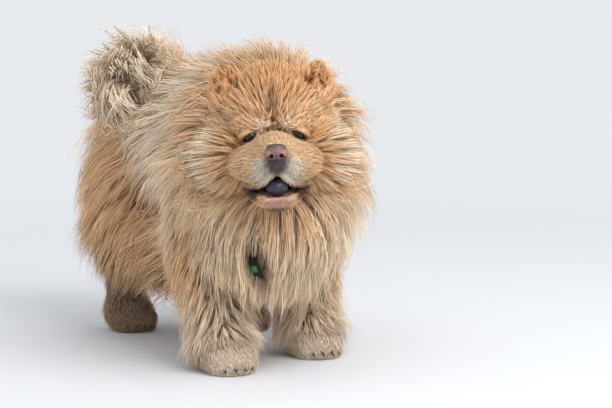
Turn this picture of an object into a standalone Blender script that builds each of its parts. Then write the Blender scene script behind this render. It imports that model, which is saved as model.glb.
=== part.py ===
"""A chow chow in mid walk at life size, as closed solids: one for each part that a person would name.

The dog walks towards -Y with its left side at +X, and its head is turned a little to its right.
Sizes are in metres, and the floor under the paws is the plane z = 0.
"""

import math
import random

import bmesh
import bpy
from mathutils import Euler, Matrix, Vector
from mathutils.bvhtree import BVHTree

GAP = 0.0003  # clearance between nodes that touch
FLAT_ANGLE = 0.001  # faces that meet at less than this, in radians, are one flat face

# Driving sizes of a grown male, on the skin
SPINE_HEIGHT = 0.350  # centre of the rib cage over the floor
RIB_HALF_WIDTH = 0.112
TRACK = 0.098  # a paw's distance from the middle of the body
PAW_HEIGHT = 0.028
LEG_END = 0.026  # a leg stops inside the top of its paw at this height

# How deep the coat stands over the skin, root to tip
BODY_COAT = 0.066
SKIRT_COAT = 0.085
MANE_COAT = 0.082
CROWN_COAT = 0.024
CHEEK_COAT = 0.048
THIGH_COAT = 0.066
LEG_COAT = 0.034
HOCK_COAT = 0.006
TAIL_COAT = 0.066
FACE_COAT = 0.004
NO_COAT = 0.0
CORE_SHARE = 0.45  # how far out through the coat the smooth core under the locks reaches

# The locks
LOCK_STEPS = 6  # places along a lock, of which every second one carries a ring
LOCK_RINGS = ((0.72, 0.85), (1.0, 1.0), (0.78, 0.72))  # each ring's share of the width and of the thickness
LOCK_SINK = 0.011  # how deep a root sits in the core
LOCK_ARCH = 0.6  # under 1, a lock rises first and then lies along
LOCK_CLEARANCE = 0.0006
LOCK_SWAY = 0.16  # radians
LOCK_FREEDOM = 0.45  # how far a lock leaves a surface that curves away under it, from 0 to 1
LOCK_TRIES = (  # for a lock without room: its length and rise, as shares, and its turn aside in radians
    (1.0, 1.0, 0.0),
    (1.0, 1.2, 0.0),
    (0.90, 1.1, 0.35),
    (0.90, 1.1, -0.35),
    (0.75, 1.2, 0.0),
    (0.75, 1.2, 0.5),
    (0.75, 1.2, -0.5),
    (0.60, 1.3, 0.0),
)

# The head's place: the middle of the line between the eyes, and its turn from the body's line
EYES = Vector((-0.076, -0.375, 0.407))
HEAD_TURN = math.radians(-22.5)
HEAD_ROLL = math.radians(-2.5)
HEAD_PITCH = math.radians(2.0)
HEAD_TILT = (HEAD_PITCH, HEAD_ROLL, HEAD_TURN)
HEAD = Matrix.Translation(EYES) @ Euler(HEAD_TILT).to_matrix().to_4x4()
EYE_SPACING = 0.0385  # from the head's middle to an eye's middle
EYE_RADIUS = 0.0115
LID_SLANT = math.radians(30)  # the outer corner of the eye hangs lower
MOUTH_CORNER = Vector((0.050, 0.000, -0.082))
LIP_RADIUS = 0.005

# The harness strap on the chest. Its line is drawn in the upright plane through the eyes and carried
# inwards until it meets the chest.
STRAP_TOP = Vector((-0.119, EYES.y, 0.206))
STRAP_END = Vector((-0.101, EYES.y, 0.160))
STRAP_INWARDS = Vector((0.42, 0.90, -0.10)).normalized()
STRAP_WIDTH = 0.015
STRAP_THICKNESS = 0.0024
TAG_SHARE = 0.34  # how far down the strap the tag sits
TAG_SIZE = (0.009, 0.012, 0.0045)

# Roots of the cheek's locks beside the face: out from the middle, up from the eyes, and the rise of the lie
CHEEK_LOCKS = (
    (0.062, 0.024, 0.28),
    (0.072, 0.008, 0.40),
    (0.066, -0.018, 0.05),
    (0.072, -0.042, -0.25),
    (0.066, -0.066, -0.60),
    (0.094, 0.000, 0.35),
    (0.094, -0.028, 0.00),
    (0.090, -0.054, -0.35),
    (0.078, -0.078, -0.75),
)

# The middle of the tail from its root, up and forward over the dog's right hip
TAIL_PATH = (
    (0.000, 0.250, 0.415),
    (-0.010, 0.298, 0.436),
    (-0.045, 0.295, 0.462),
    (-0.085, 0.240, 0.476),
    (-0.112, 0.170, 0.466),
    (-0.122, 0.095, 0.450),
)

PAW_STANDS = {"front": -0.178, "hind": 0.232}  # a paw's place along the standing dog

# How far each foot stands ahead (-) or behind (+) of its place under the standing dog
STRIDES = {
    "front_leg_right": -0.045,
    "front_leg_left": 0.030,
    "hind_leg_right": 0.020,
    "hind_leg_left": -0.070,
}


def clear_scene():
    for obj in list(bpy.data.objects):
        bpy.data.objects.remove(obj, do_unlink=True)


def collection(name):
    made = bpy.data.collections.new(name)
    bpy.context.scene.collection.children.link(made)
    return made


def material(name, colour, roughness):
    made = bpy.data.materials.new(name)
    made.use_nodes = True
    shader = made.node_tree.nodes["Principled BSDF"]
    shader.inputs["Base Color"].default_value = (*colour, 1)
    shader.inputs["Roughness"].default_value = roughness
    shader.inputs["Metallic"].default_value = 0
    return made


def mirrored(point, side):
    """The point on the dog's left for side 1, or on its right for side -1."""
    return Vector((point[0] * side, point[1], point[2]))


def side_name(stem, side):
    return f"{stem}_left" if side > 0 else f"{stem}_right"


def side_of(name):
    return 1 if name.endswith("left") else -1


def mass(centre, radii, coat, tilt=(0, 0, 0)):
    """An ellipsoid of flesh: its middle, its three radii on the skin, the coat over it and its tilt."""
    return Vector(centre), radii, coat, tilt


def chain(start, end, radii, coats, steps):
    """Balls from start to end, as masses. The radius and the coat change evenly between their two values."""
    start, end = Vector(start), Vector(end)
    masses = []
    for k in range(steps):
        share = k / (steps - 1)
        radius = radii[0] + (radii[1] - radii[0]) * share
        coat = coats[0] + (coats[1] - coats[0]) * share
        masses.append(mass(start.lerp(end, share), (radius,) * 3, coat))
    return masses


def evaluated_copy(obj):
    graph = bpy.context.evaluated_depsgraph_get()
    return bpy.data.meshes.new_from_object(obj.evaluated_get(graph))


def apply_modifiers(obj):
    mesh = evaluated_copy(obj)
    obj.modifiers.clear()
    old = obj.data
    obj.data = mesh
    bpy.data.meshes.remove(old)


def blended(name, masses, voxel, faces, place=None, share=CORE_SHARE, rounds=8):
    """One closed soft form over the masses, thinned to about that many triangles.

    It stands over the skin by that share of the coat's depth.
    """
    bm = bmesh.new()
    for centre, radii, coat, tilt in masses:
        size = Matrix.Diagonal((*(r + coat * share for r in radii), 1))
        turn = Euler(tilt).to_matrix().to_4x4()
        matrix = Matrix.Translation(centre) @ turn @ size
        if place is not None:
            matrix = place @ matrix
        bmesh.ops.create_uvsphere(bm, u_segments=28, v_segments=18, radius=1, matrix=matrix)
    mesh = bpy.data.meshes.new(name)
    bm.to_mesh(mesh)
    bm.free()
    obj = bpy.data.objects.new(name, mesh)
    bpy.context.scene.collection.objects.link(obj)
    merge = obj.modifiers.new("merge", "REMESH")
    merge.mode = "VOXEL"
    merge.voxel_size = voxel
    soften = obj.modifiers.new("soften", "SMOOTH")
    soften.factor = 0.5
    soften.iterations = rounds
    split = obj.modifiers.new("split", "TRIANGULATE")
    split.min_vertices = 4
    apply_modifiers(obj)
    thin = obj.modifiers.new("thin", "DECIMATE")
    thin.ratio = min(1.0, faces / len(obj.data.polygons))
    apply_modifiers(obj)
    return obj


def grown_copy(obj, distance):
    """A copy whose surface stands off by that distance, to cut a neighbour clear."""
    mesh = obj.data.copy()
    bm = bmesh.new()
    bm.from_mesh(mesh)
    bm.normal_update()
    moved = [v.co + v.normal * distance for v in bm.verts]
    for vert, place in zip(bm.verts, moved):
        vert.co = place
    bm.to_mesh(mesh)
    bm.free()
    made = bpy.data.objects.new(obj.name + "_grown", mesh)
    bpy.context.scene.collection.objects.link(made)
    return made


def keep_largest(obj):
    """Drops all but the largest closed surface, and the needless edges inside its flat faces."""
    bm = bmesh.new()
    bm.from_mesh(obj.data)
    left = set(bm.verts)
    shells = []
    while left:
        shell = set()
        reached = [left.pop()]
        while reached:
            vert = reached.pop()
            shell.add(vert)
            near = [edge.other_vert(vert) for edge in vert.link_edges]
            fresh = [other for other in near if other in left]
            left.difference_update(fresh)
            reached.extend(fresh)
        shells.append(shell)
    shells.sort(key=len)
    for shell in shells[:-1]:
        bmesh.ops.delete(bm, geom=list(shell), context="VERTS")
    bmesh.ops.dissolve_limit(bm, angle_limit=FLAT_ANGLE, verts=bm.verts, edges=bm.edges)
    bmesh.ops.triangulate(bm, faces=bm.faces)
    bm.to_mesh(obj.data)
    bm.free()


def cut_away(obj, other):
    """Cuts other out of obj, and removes it."""
    change = obj.modifiers.new("cut", "BOOLEAN")
    change.operation = "DIFFERENCE"
    change.object = other
    change.solver = "EXACT"
    apply_modifiers(obj)
    bpy.data.objects.remove(other, do_unlink=True)
    keep_largest(obj)


def join_pieces(obj, pieces, solver="EXACT"):
    """Fuses the pieces to obj in one union, and removes them."""
    group = collection(obj.name + "_pieces")
    for piece in pieces:
        group.objects.link(piece)
    change = obj.modifiers.new("join", "BOOLEAN")
    change.operation = "UNION"
    change.operand_type = "COLLECTION"
    change.collection = group
    change.solver = solver
    apply_modifiers(obj)
    for piece in pieces:
        bpy.data.objects.remove(piece, do_unlink=True)
    bpy.data.collections.remove(group)
    keep_largest(obj)


def surface_of(*objects):
    """The outer faces of the objects, for finding places on them."""
    bm = bmesh.new()
    for obj in objects:
        bm.from_mesh(obj.data)
    tree = BVHTree.FromBMesh(bm)
    bm.free()
    return tree


def cut_clear(nodes):
    """Cuts each node back from every node before it that it would cross, to the gap between touching nodes."""
    for place, node in enumerate(nodes):
        for earlier in nodes[:place]:
            cutter = grown_copy(earlier, GAP)
            if surface_of(cutter).overlap(surface_of(node)):
                cut_away(node, cutter)
            else:
                bpy.data.objects.remove(cutter, do_unlink=True)


def flatten(obj, place, kept_side):
    """Cuts the form off at the plane through place, and closes it with a flat. The kept side is a direction."""
    bm = bmesh.new()
    bm.from_mesh(obj.data)
    found = bmesh.ops.bisect_plane(
        bm,
        geom=[*bm.verts, *bm.edges, *bm.faces],
        plane_co=place,
        plane_no=kept_side,
        clear_inner=True,
    )
    rim = [item for item in found["geom_cut"] if isinstance(item, bmesh.types.BMEdge)]
    bmesh.ops.edgenet_fill(bm, edges=rim)
    bmesh.ops.recalc_face_normals(bm, faces=bm.faces)
    bmesh.ops.triangulate(bm, faces=bm.faces)
    bm.to_mesh(obj.data)
    bm.free()


def loft(name, rings):
    """A closed skin through rings of points. The first ring is capped, and the last is capped or one tip."""
    bm = bmesh.new()
    rows = [[bm.verts.new(point) for point in ring] for ring in rings]
    bm.faces.new(list(reversed(rows[0])))
    for low, high in zip(rows, rows[1:]):
        count = len(low)
        for k in range(count):
            after = (k + 1) % count
            if len(high) == 1:
                bm.faces.new((low[k], low[after], high[0]))
            else:
                bm.faces.new((low[k], low[after], high[after], high[k]))
    if len(rows[-1]) > 1:
        bm.faces.new(rows[-1])
    bmesh.ops.recalc_face_normals(bm, faces=bm.faces)
    bmesh.ops.triangulate(bm, faces=bm.faces)
    mesh = bpy.data.meshes.new(name)
    bm.to_mesh(mesh)
    bm.free()
    return bpy.data.objects.new(name, mesh)


def lock_spine(guide, root, lie, length, rise):
    """Places along a lock, from the sunk root to the tip, each with the way out of the coat there."""
    place, normal = guide.find_nearest(root)[:2]
    track = [(place, normal)]
    for _ in range(LOCK_STEPS):
        heading = lie(place)
        heading = (heading - normal * heading.dot(normal)).normalized()
        ahead = place + heading * length / LOCK_STEPS
        place, normal = guide.find_nearest(ahead)[:2]
        if (ahead - place).dot(normal) > 0:
            place = place.lerp(ahead, LOCK_FREEDOM)
        track.append((place, normal))
    spine = []
    for k, (place, _) in enumerate(track):
        near = track[max(k - 1, 0) : k + 2]
        out = sum((normal for _, normal in near), Vector()).normalized()
        height = (rise + LOCK_SINK) * (k / LOCK_STEPS) ** LOCK_ARCH - LOCK_SINK
        spine.append((place + out * height, out))
    return spine


def lock_rings(spine, width, thickness, margin):
    """Flat rhombs along the spine, then the tip. They are larger all round by the margin."""
    rings = []
    for k, (wide, thick) in enumerate(LOCK_RINGS):
        place, out = spine[2 * k]
        along = (spine[2 * k + 1][0] - spine[max(2 * k - 1, 0)][0]).normalized()
        across = along.cross(out).normalized()
        up = across.cross(along)
        half = across * (width * wide / 2 + margin)
        crown = up * (thickness * thick / 2 + margin)
        rings.append([place - half, place - crown, place + half, place + crown])
    tip, before = spine[-1][0], spine[-2][0]
    rings.append([tip + (tip - before).normalized() * margin])
    return rings


def lay_locks(node, others, guide, roots, size, keep_off):
    """Fuses a flat, tapered, bent lock to the node at each root that has room for one.

    A root is a place on the coat with the lie there, a function of the place. The size is a lock's
    length, width, thickness and the tip's rise over the core. A lock that would cross another node
    is lifted or shortened, or left out. The keep_off places stay bare.
    """
    length, width, thickness, rise = size
    dice = random.Random(node.name)
    taken = surface_of(*others)
    own = surface_of(node)
    locks = []
    for root, lie in roots:
        long = length * dice.uniform(0.88, 1.12)
        wide = width * dice.uniform(0.9, 1.12)
        high = rise * dice.uniform(0.85, 1.1)
        sway = dice.uniform(-LOCK_SWAY, LOCK_SWAY)
        start, out = own.find_nearest(root)[:2]
        for shorter, higher, aside in LOCK_TRIES:
            veer = Matrix.Rotation(sway + aside, 3, out)
            spine = lock_spine(guide, start, lambda at: veer @ lie(at), long * shorter, high * higher)
            if any((place - bare).length < wide * 0.6 for place, _ in spine for bare in keep_off):
                break
            if min(place.z for place, _ in spine) < thickness:
                continue
            trial = loft("trial", lock_rings(spine, wide, thickness, LOCK_CLEARANCE))
            crossing = surface_of(trial).overlap(taken)
            bpy.data.objects.remove(trial, do_unlink=True)
            if not crossing:
                locks.append(loft("lock", lock_rings(spine, wide, thickness, 0)))
                break
    join_pieces(node, locks, "MANIFOLD")


def strap_path(neck, steps=8):
    """Places along the strap, each with the way out of the chest there."""
    chest = surface_of(neck)
    path = []
    for k in range(steps):
        start = STRAP_TOP.lerp(STRAP_END, k / (steps - 1))
        place, normal = chest.ray_cast(start, STRAP_INWARDS)[:2]
        if place is None:
            place, normal = chest.find_nearest(start + STRAP_INWARDS * 0.12)[:2]
        tuck = -0.010 if k in (0, steps - 1) else STRAP_THICKNESS / 2
        path.append((place + normal * tuck, normal))
    return path


def strap_form(path):
    rings = []
    for k, (place, normal) in enumerate(path):
        before = path[max(k - 1, 0)][0]
        after = path[min(k + 1, len(path) - 1)][0]
        across = (after - before).cross(normal).normalized() * STRAP_WIDTH / 2
        up = normal * STRAP_THICKNESS / 2
        rings.append([place - across - up, place + across - up, place + across + up, place - across + up])
    obj = loft("strap", rings)
    bpy.context.scene.collection.objects.link(obj)
    return obj


def tag_form(path):
    """A small rounded tag that lies on the strap."""
    at = TAG_SHARE * (len(path) - 1)
    near, far = path[int(at)], path[int(at) + 1]
    normal = (near[1] + far[1]).normalized()
    place = near[0].lerp(far[0], at - int(at)) + normal * (STRAP_THICKNESS + TAG_SIZE[2]) / 2
    along = (far[0] - near[0]).normalized()
    across = along.cross(normal).normalized()
    turn = Matrix((across, normal.cross(across), normal)).transposed().to_4x4()
    bm = bmesh.new()
    size = Matrix.Diagonal((*TAG_SIZE, 1))
    bmesh.ops.create_cube(bm, size=1, matrix=Matrix.Translation(place) @ turn @ size)
    mesh = bpy.data.meshes.new("strap_tag")
    bm.to_mesh(mesh)
    bm.free()
    obj = bpy.data.objects.new("strap_tag", mesh)
    bpy.context.scene.collection.objects.link(obj)
    bevel = obj.modifiers.new("rounding", "BEVEL")
    bevel.width = 0.001
    bevel.segments = 2
    apply_modifiers(obj)
    return obj


def torso_form():
    back = SPINE_HEIGHT
    masses = [
        mass((0, -0.020, back), (RIB_HALF_WIDTH, 0.170, 0.110), BODY_COAT),
        mass((0, -0.125, back - 0.005), (0.100, 0.075, 0.112), BODY_COAT),
        mass((0, 0.100, back + 0.005), (0.100, 0.130, 0.095), BODY_COAT),
        mass((0, 0.185, back - 0.005), (0.108, 0.090, 0.095), BODY_COAT),
        mass((0, 0.030, back - 0.145), (0.070, 0.150, 0.055), SKIRT_COAT),
    ]
    return blended("torso", masses, 0.008, 400)


def neck_form():
    base = Vector((0, -0.145, SPINE_HEIGHT + 0.035))
    nape = HEAD @ Vector((0, 0.180, -0.005))
    masses = chain(base, nape, (0.095, 0.080), (BODY_COAT, MANE_COAT * 0.85), 6)
    masses.append(mass(HEAD @ Vector((0, 0.150, -0.018)), (0.090, 0.026, 0.090), MANE_COAT, HEAD_TILT))
    throat = HEAD @ Vector((0, 0.125, -0.120))
    chest = Vector((0, -0.205, SPINE_HEIGHT - 0.070))
    masses += chain(throat, chest, (0.066, 0.084), (MANE_COAT * 0.8, BODY_COAT), 5)
    bib = Vector((-0.022, -0.195, SPINE_HEIGHT - 0.142))
    masses.append(mass(bib, (0.060, 0.060, 0.056), BODY_COAT * 0.6))
    return blended("neck", masses, 0.008, 340)


def head_form():
    masses = [
        mass((0, 0.088, 0.016), (0.078, 0.078, 0.058), CROWN_COAT),
        mass((0, 0.088, 0.055), (0.050, 0.048, 0.036), CROWN_COAT),
        mass((0, 0.048, 0.034), (0.066, 0.044, 0.042), CROWN_COAT * 0.6),
        mass((0, -0.048, -0.012), (0.028, 0.045, 0.020), FACE_COAT),
        mass((0, -0.036, -0.028), (0.046, 0.047, 0.030), FACE_COAT),
        mass((0, -0.066, -0.042), (0.020, 0.018, 0.020), FACE_COAT),
    ]
    for side in (-1, 1):
        corner = mirrored(MOUTH_CORNER, side)
        front_lip = Vector((side * 0.026, -0.054, -0.077))
        lip_peak = Vector((side * 0.004, -0.068, -0.060))
        masses += [
            mass((side * 0.034, 0.014, 0.016), (0.028, 0.021, 0.017), FACE_COAT),
            mass((side * 0.0225, -0.001, 0.018), (0.012, 0.012, 0.010), NO_COAT),
            mass((side * EYE_SPACING, 0.000, 0.000), (0.018, 0.0155, 0.0130), NO_COAT),
            mass((side * 0.052, 0.062, -0.032), (0.038, 0.050, 0.044), CHEEK_COAT),
            mass((side * 0.031, -0.024, -0.043), (0.034, 0.046, 0.033), FACE_COAT),
            *chain(corner, front_lip, (LIP_RADIUS, LIP_RADIUS), (0, 0), 14),
            *chain(front_lip, lip_peak, (LIP_RADIUS, LIP_RADIUS), (0, 0), 6),
        ]
    return blended("head", masses, 0.003, 1250, place=HEAD, rounds=3)


def jaw_form():
    chin_lip = Vector((0.018, -0.068, -0.097))
    masses = [
        mass((0, -0.042, -0.105), (0.029, 0.030, 0.012), NO_COAT),
        mass((0, -0.012, -0.108), (0.036, 0.045, 0.020), NO_COAT),
        mass((0, 0.012, -0.100), (0.046, 0.050, 0.026), NO_COAT),
    ]
    for side in (-1, 1):
        corner = mirrored(MOUTH_CORNER, side) + Vector((-side * 0.006, -0.006, -0.008))
        masses += chain(corner, mirrored(chin_lip, side), (LIP_RADIUS, LIP_RADIUS), (0, 0), 14)
    masses += chain(mirrored(chin_lip, -1), chin_lip, (LIP_RADIUS, LIP_RADIUS), (0, 0), 7)
    return blended("lower_jaw", masses, 0.003, 260, place=HEAD, rounds=3)


def tongue_form():
    masses = [
        mass((0, -0.046, -0.078), (0.020, 0.026, 0.012), NO_COAT, (math.radians(-10), 0, 0)),
        mass((0, -0.020, -0.072), (0.022, 0.034, 0.012), NO_COAT),
    ]
    return blended("tongue", masses, 0.0025, 90, place=HEAD)


def nose_form():
    masses = [
        mass((0, -0.090, -0.022), (0.0180, 0.013, 0.0150), NO_COAT),
        mass((0, -0.082, -0.012), (0.0175, 0.015, 0.0115), NO_COAT),
    ]
    for side in (-1, 1):
        masses.append(mass((side * 0.0115, -0.089, -0.025), (0.0090, 0.011, 0.0095), NO_COAT))
    obj = blended("nose", masses, 0.0016, 220, place=HEAD, rounds=4)
    for side in (-1, 1):
        nostril = mass((side * 0.0080, -0.103, -0.028), (0.0034, 0.0070, 0.0030), NO_COAT)
        wing = mass((side * 0.0130, -0.100, -0.031), (0.0040, 0.0060, 0.0013), NO_COAT)
        hole = blended("nostril", [nostril, wing], 0.0008, 50, place=HEAD, rounds=1)
        cut_away(obj, hole)
    return obj


def eye_form(side):
    masses = [mass((side * EYE_SPACING, -0.002, 0.0), (EYE_RADIUS,) * 3, NO_COAT)]
    return blended(side_name("eye", side), masses, 0.0018, 96, place=HEAD)


def open_lids(head, side, ball):
    """Cuts the slit between the lids, and the socket behind it."""
    slit = mass(
        (side * EYE_SPACING, -0.014, 0.0),
        (0.0098, 0.0120, 0.0032),
        NO_COAT,
        (0, side * LID_SLANT, 0),
    )
    cut_away(head, blended("slit", [slit], 0.0012, 48, place=HEAD, rounds=1))
    cut_away(head, grown_copy(ball, GAP))


def ear_form(side):
    lean = (math.radians(-12), math.radians(side * 10), math.radians(side * -12))
    masses = [
        mass((side * 0.073, 0.074, 0.064), (0.028, 0.013, 0.026), NO_COAT, lean),
        mass((side * 0.078, 0.070, 0.088), (0.021, 0.011, 0.022), NO_COAT, lean),
        mass((side * 0.082, 0.066, 0.107), (0.011, 0.008, 0.012), NO_COAT, lean),
    ]
    obj = blended(side_name("ear", side), masses, 0.0028, 150, place=HEAD, rounds=3)
    cup = [
        mass((side * 0.076, 0.058, 0.076), (0.015, 0.011, 0.018), NO_COAT, lean),
        mass((side * 0.080, 0.056, 0.096), (0.008, 0.008, 0.011), NO_COAT, lean),
    ]
    cut_away(obj, blended("cup", cup, 0.0025, 80, place=HEAD, rounds=2))
    return obj


def tail_form():
    radii = [0.030, 0.029, 0.027, 0.025, 0.021, 0.015]
    masses = []
    for k in range(len(TAIL_PATH) - 1):
        masses += chain(TAIL_PATH[k], TAIL_PATH[k + 1], radii[k : k + 2], (TAIL_COAT, TAIL_COAT), 4)
    return blended("tail", masses, 0.006, 200)


def front_leg_form(name):
    stride = STRIDES[name]
    side = side_of(name)
    shoulder = mirrored((0.080, -0.135, 0.300), side)
    elbow = mirrored((TRACK, -0.105 + 0.3 * stride, 0.215), side)
    wrist = mirrored((TRACK, -0.150 + 0.8 * stride, 0.085), side)
    heel = mirrored((TRACK, -0.160 + stride, 0.050), side)
    masses = chain(shoulder, elbow, (0.050, 0.040), (LEG_COAT, LEG_COAT), 5)
    masses += chain(elbow, wrist, (0.038, 0.031), (LEG_COAT, LEG_COAT), 6)
    masses += chain(wrist, heel, (0.031, 0.030), (LEG_COAT, LEG_COAT * 0.8), 3)
    obj = blended(name, masses, 0.006, 220)
    flatten(obj, (0, 0, LEG_END), (0, 0, 1))
    return obj


def hind_joints(name):
    """The skeleton's places in a hind leg: hip, middle of the thigh, knee, hock and heel."""
    stride, side = STRIDES[name], side_of(name)
    return [
        mirrored(place, side)
        for place in (
            (0.070, 0.190, 0.350),
            (0.082, 0.185 + 0.2 * stride, 0.285),
            (0.088, 0.155 + 0.5 * stride, 0.220),
            (TRACK, 0.255 + stride, 0.130),
            (TRACK, 0.245 + stride, 0.050),
        )
    ]


def thigh_form(name):
    side = side_of(name)
    hip, thigh, knee, hock, _ = hind_joints(name)
    masses = [mass(thigh, (0.050, 0.088, 0.100), THIGH_COAT)]
    masses += chain(hip, knee, (0.060, 0.052), (THIGH_COAT, THIGH_COAT), 4)
    masses += chain(knee, knee.lerp(hock, 0.6), (0.052, 0.040), (THIGH_COAT, THIGH_COAT * 0.5), 4)
    obj = blended(name.replace("leg", "thigh"), masses, 0.006, 200)
    flatten(obj, (side * GAP, 0, 0), (side, 0, 0))
    return obj


def hock_form(name):
    _, _, knee, hock, heel = hind_joints(name)
    masses = chain(knee.lerp(hock, 0.4), hock, (0.038, 0.029), (HOCK_COAT, HOCK_COAT), 4)
    masses += chain(hock, heel, (0.027, 0.026), (HOCK_COAT, HOCK_COAT), 5)
    obj = blended(name.replace("leg", "hock"), masses, 0.005, 170, share=1.0)
    flatten(obj, (0, 0, LEG_END), (0, 0, 1))
    return obj


def paw_centre(leg):
    stand = PAW_STANDS["front" if leg.startswith("front") else "hind"]
    return mirrored((TRACK, stand + STRIDES[leg], PAW_HEIGHT), side_of(leg))


def claw(root, reach):
    """A blunt horn cone from its root inside the toe to just past the toe's front."""
    tip = root + Vector((0, -reach, -0.006))
    along = tip - root
    turn = along.to_track_quat("Z", "Y").to_matrix().to_4x4()
    bm = bmesh.new()
    bmesh.ops.create_cone(
        bm,
        cap_ends=True,
        segments=5,
        radius1=0.0044,
        radius2=0.0016,
        depth=along.length,
        matrix=Matrix.Translation((root + tip) / 2) @ turn,
    )
    bmesh.ops.triangulate(bm, faces=bm.faces)
    mesh = bpy.data.meshes.new("claw")
    bm.to_mesh(mesh)
    bm.free()
    return bpy.data.objects.new("claw", mesh)


def paw_form(leg):
    centre = paw_centre(leg)
    masses = [mass(centre, (0.042, 0.047, 0.036), NO_COAT)]
    claws = []
    for share in (-1.0, -0.36, 0.36, 1.0):
        reach = 0.040 - 0.014 * abs(share)
        toe = centre + Vector((share * 0.024, -reach, -0.008))
        masses.append(mass(toe, (0.0185, 0.027, 0.026), NO_COAT))
        claws.append(claw(toe + Vector((0, -0.016, -0.006)), 0.016))
    obj = blended(leg.replace("leg", "paw"), masses, 0.004, 190, rounds=3)
    join_pieces(obj, claws)
    flatten(obj, (0, 0, 0), (0, 0, 1))
    return obj


def roots_round(node, start, end, rows, columns, angles, lie, reach=0.4):
    """Lock roots in rows from start to end, found from outside towards that line.

    An angle of 0 is straight up from the line, and of 90 degrees is at the dog's left. Every second
    row is shifted by half a column.
    """
    surface = surface_of(node)
    axis = (end - start).normalized()
    left = Vector((1, 0, 0))
    left = (left - axis * left.dot(axis)).normalized()
    top = left.cross(axis)
    if top.z < 0:
        top = -top
    roots = []
    for row in range(rows):
        middle = start.lerp(end, (row + 0.5) / rows)
        for column in range(columns + row % 2):
            share = (column + 0.5 * (1 - row % 2)) / columns
            angle = math.radians(angles[0] + (angles[1] - angles[0]) * share)
            out = top * math.cos(angle) + left * math.sin(angle)
            place = surface.ray_cast(middle + out * reach, -out)[0]
            if place is not None:
                roots.append((place, lie))
    return roots


def torso_roots(torso):
    """Back along the ribs and down the flanks, and backwards under the belly."""

    def lie(place):
        droop = min(abs(place.x) / 0.10, 1.0) * 0.85
        return Vector((0, 1.0, -droop))

    start = Vector((0, -0.075, SPINE_HEIGHT - 0.020))
    end = Vector((0, 0.300, SPINE_HEIGHT - 0.020))
    return roots_round(torso, start, end, 6, 8, (-145, 145), lie)


def rump_roots(torso):
    surface = surface_of(torso)
    roots = []
    for x, z in ((-0.05, 0.40), (0.0, 0.38), (0.05, 0.40), (-0.025, 0.33), (0.025, 0.33)):
        place = surface.ray_cast(Vector((x, 0.6, z)), Vector((0, -1, 0)))[0]
        if place is not None:
            roots.append((place, lambda at: Vector((0, 0.3, -1))))
    return roots


def mane_roots(neck):
    """Rings round the head, lying outwards and back over the shoulders."""
    surface = surface_of(neck)
    forward = HEAD.to_3x3() @ Vector((0, -1, 0))
    roots = []
    for ring, (depth, count, spread) in enumerate(((0.122, 16, 1.2), (0.172, 13, 0.35), (0.240, 11, 0.12))):
        middle = HEAD @ Vector((0, depth, -0.015))

        def lie(at, middle=middle, spread=spread):
            out = at - middle
            out = (out - forward * out.dot(forward)).normalized()
            return out * spread - forward + Vector((0, 0, -0.25))

        for k in range(count):
            angle = 2 * math.pi * (k + 0.5 * (ring % 2)) / count
            out = HEAD.to_3x3() @ Vector((math.sin(angle), 0, math.cos(angle)))
            place = surface.ray_cast(middle + out * 0.4, -out)[0]
            if place is not None and place.z > 0.24:
                roots.append((place, lie))
    return roots


def bib_roots(neck):
    """Rows down the throat and chest, hanging down and spreading a little."""
    surface = surface_of(neck)
    forward = Vector((-0.30, -1, 0)).normalized()
    across = Vector((1, -0.30, 0)).normalized()
    roots = []
    for row, z in enumerate((0.300, 0.262, 0.222, 0.182)):
        count = 6 - row % 2
        for k in range(count):
            aside = (k - (count - 1) / 2) * 0.042
            start = Vector((-0.040, -0.25, z)) + across * aside + forward * 0.4
            place = surface.ray_cast(start, -forward)[0]
            if place is not None:
                sway = aside * 2.2
                roots.append((place, lambda at, sway=sway: across * sway + Vector((0, 0.15, -1))))
    return roots


def crown_roots(head):
    """Forehead hair that stands up between the ears."""
    surface = surface_of(head)
    turn = HEAD.to_3x3()
    roots = []
    for row, z in enumerate((0.052, 0.074, 0.094)):
        count = 3 + row % 2
        for k in range(count):
            x = (k - (count - 1) / 2) * 0.026
            place = surface.ray_cast(HEAD @ Vector((x, -0.3, z)), turn @ Vector((0, 1, 0)))[0]
            if place is not None:
                sway = x * 3
                roots.append((place, lambda at, sway=sway: turn @ Vector((sway, 0.9, 1.0))))
    return roots


def cheek_roots(head):
    """Cheek hair that sweeps outwards from beside the eyes and the muzzle."""
    surface = surface_of(head)
    turn = HEAD.to_3x3()
    roots = []
    for side in (-1, 1):
        for x, z, lift in CHEEK_LOCKS:
            place = surface.ray_cast(HEAD @ Vector((side * x, -0.3, z)), turn @ Vector((0, 1, 0)))[0]
            if place is not None:
                roots.append((place, lambda at, side=side, lift=lift: turn @ Vector((side, 0.2, lift))))
    return roots


def plume_roots(tail):
    """All along the tail, lying along it and fanning out from it."""
    surface = surface_of(tail)
    roots = []
    spots = TAIL_PATH
    places = 6
    for k in range(places):
        low = int(k * (len(spots) - 1.3) / (places - 1))
        share = k * (len(spots) - 1.3) / (places - 1) - low
        middle = Vector(spots[low]).lerp(Vector(spots[low + 1]), share)
        along = (Vector(spots[low + 1]) - Vector(spots[low])).normalized()
        side = along.cross(Vector((0, 0, 1))).normalized()
        top = side.cross(along)
        for degrees in range(-150 + 30 * (k % 2), 180, 60):
            angle = math.radians(degrees)
            out = top * math.cos(angle) + side * math.sin(angle)
            place = surface.ray_cast(middle + out * 0.2, -out)[0]
            if place is not None:
                roots.append((place, lambda at, along=along, out=out: along + out * 0.5 + Vector((0, 0, -0.35))))
    return roots


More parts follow.
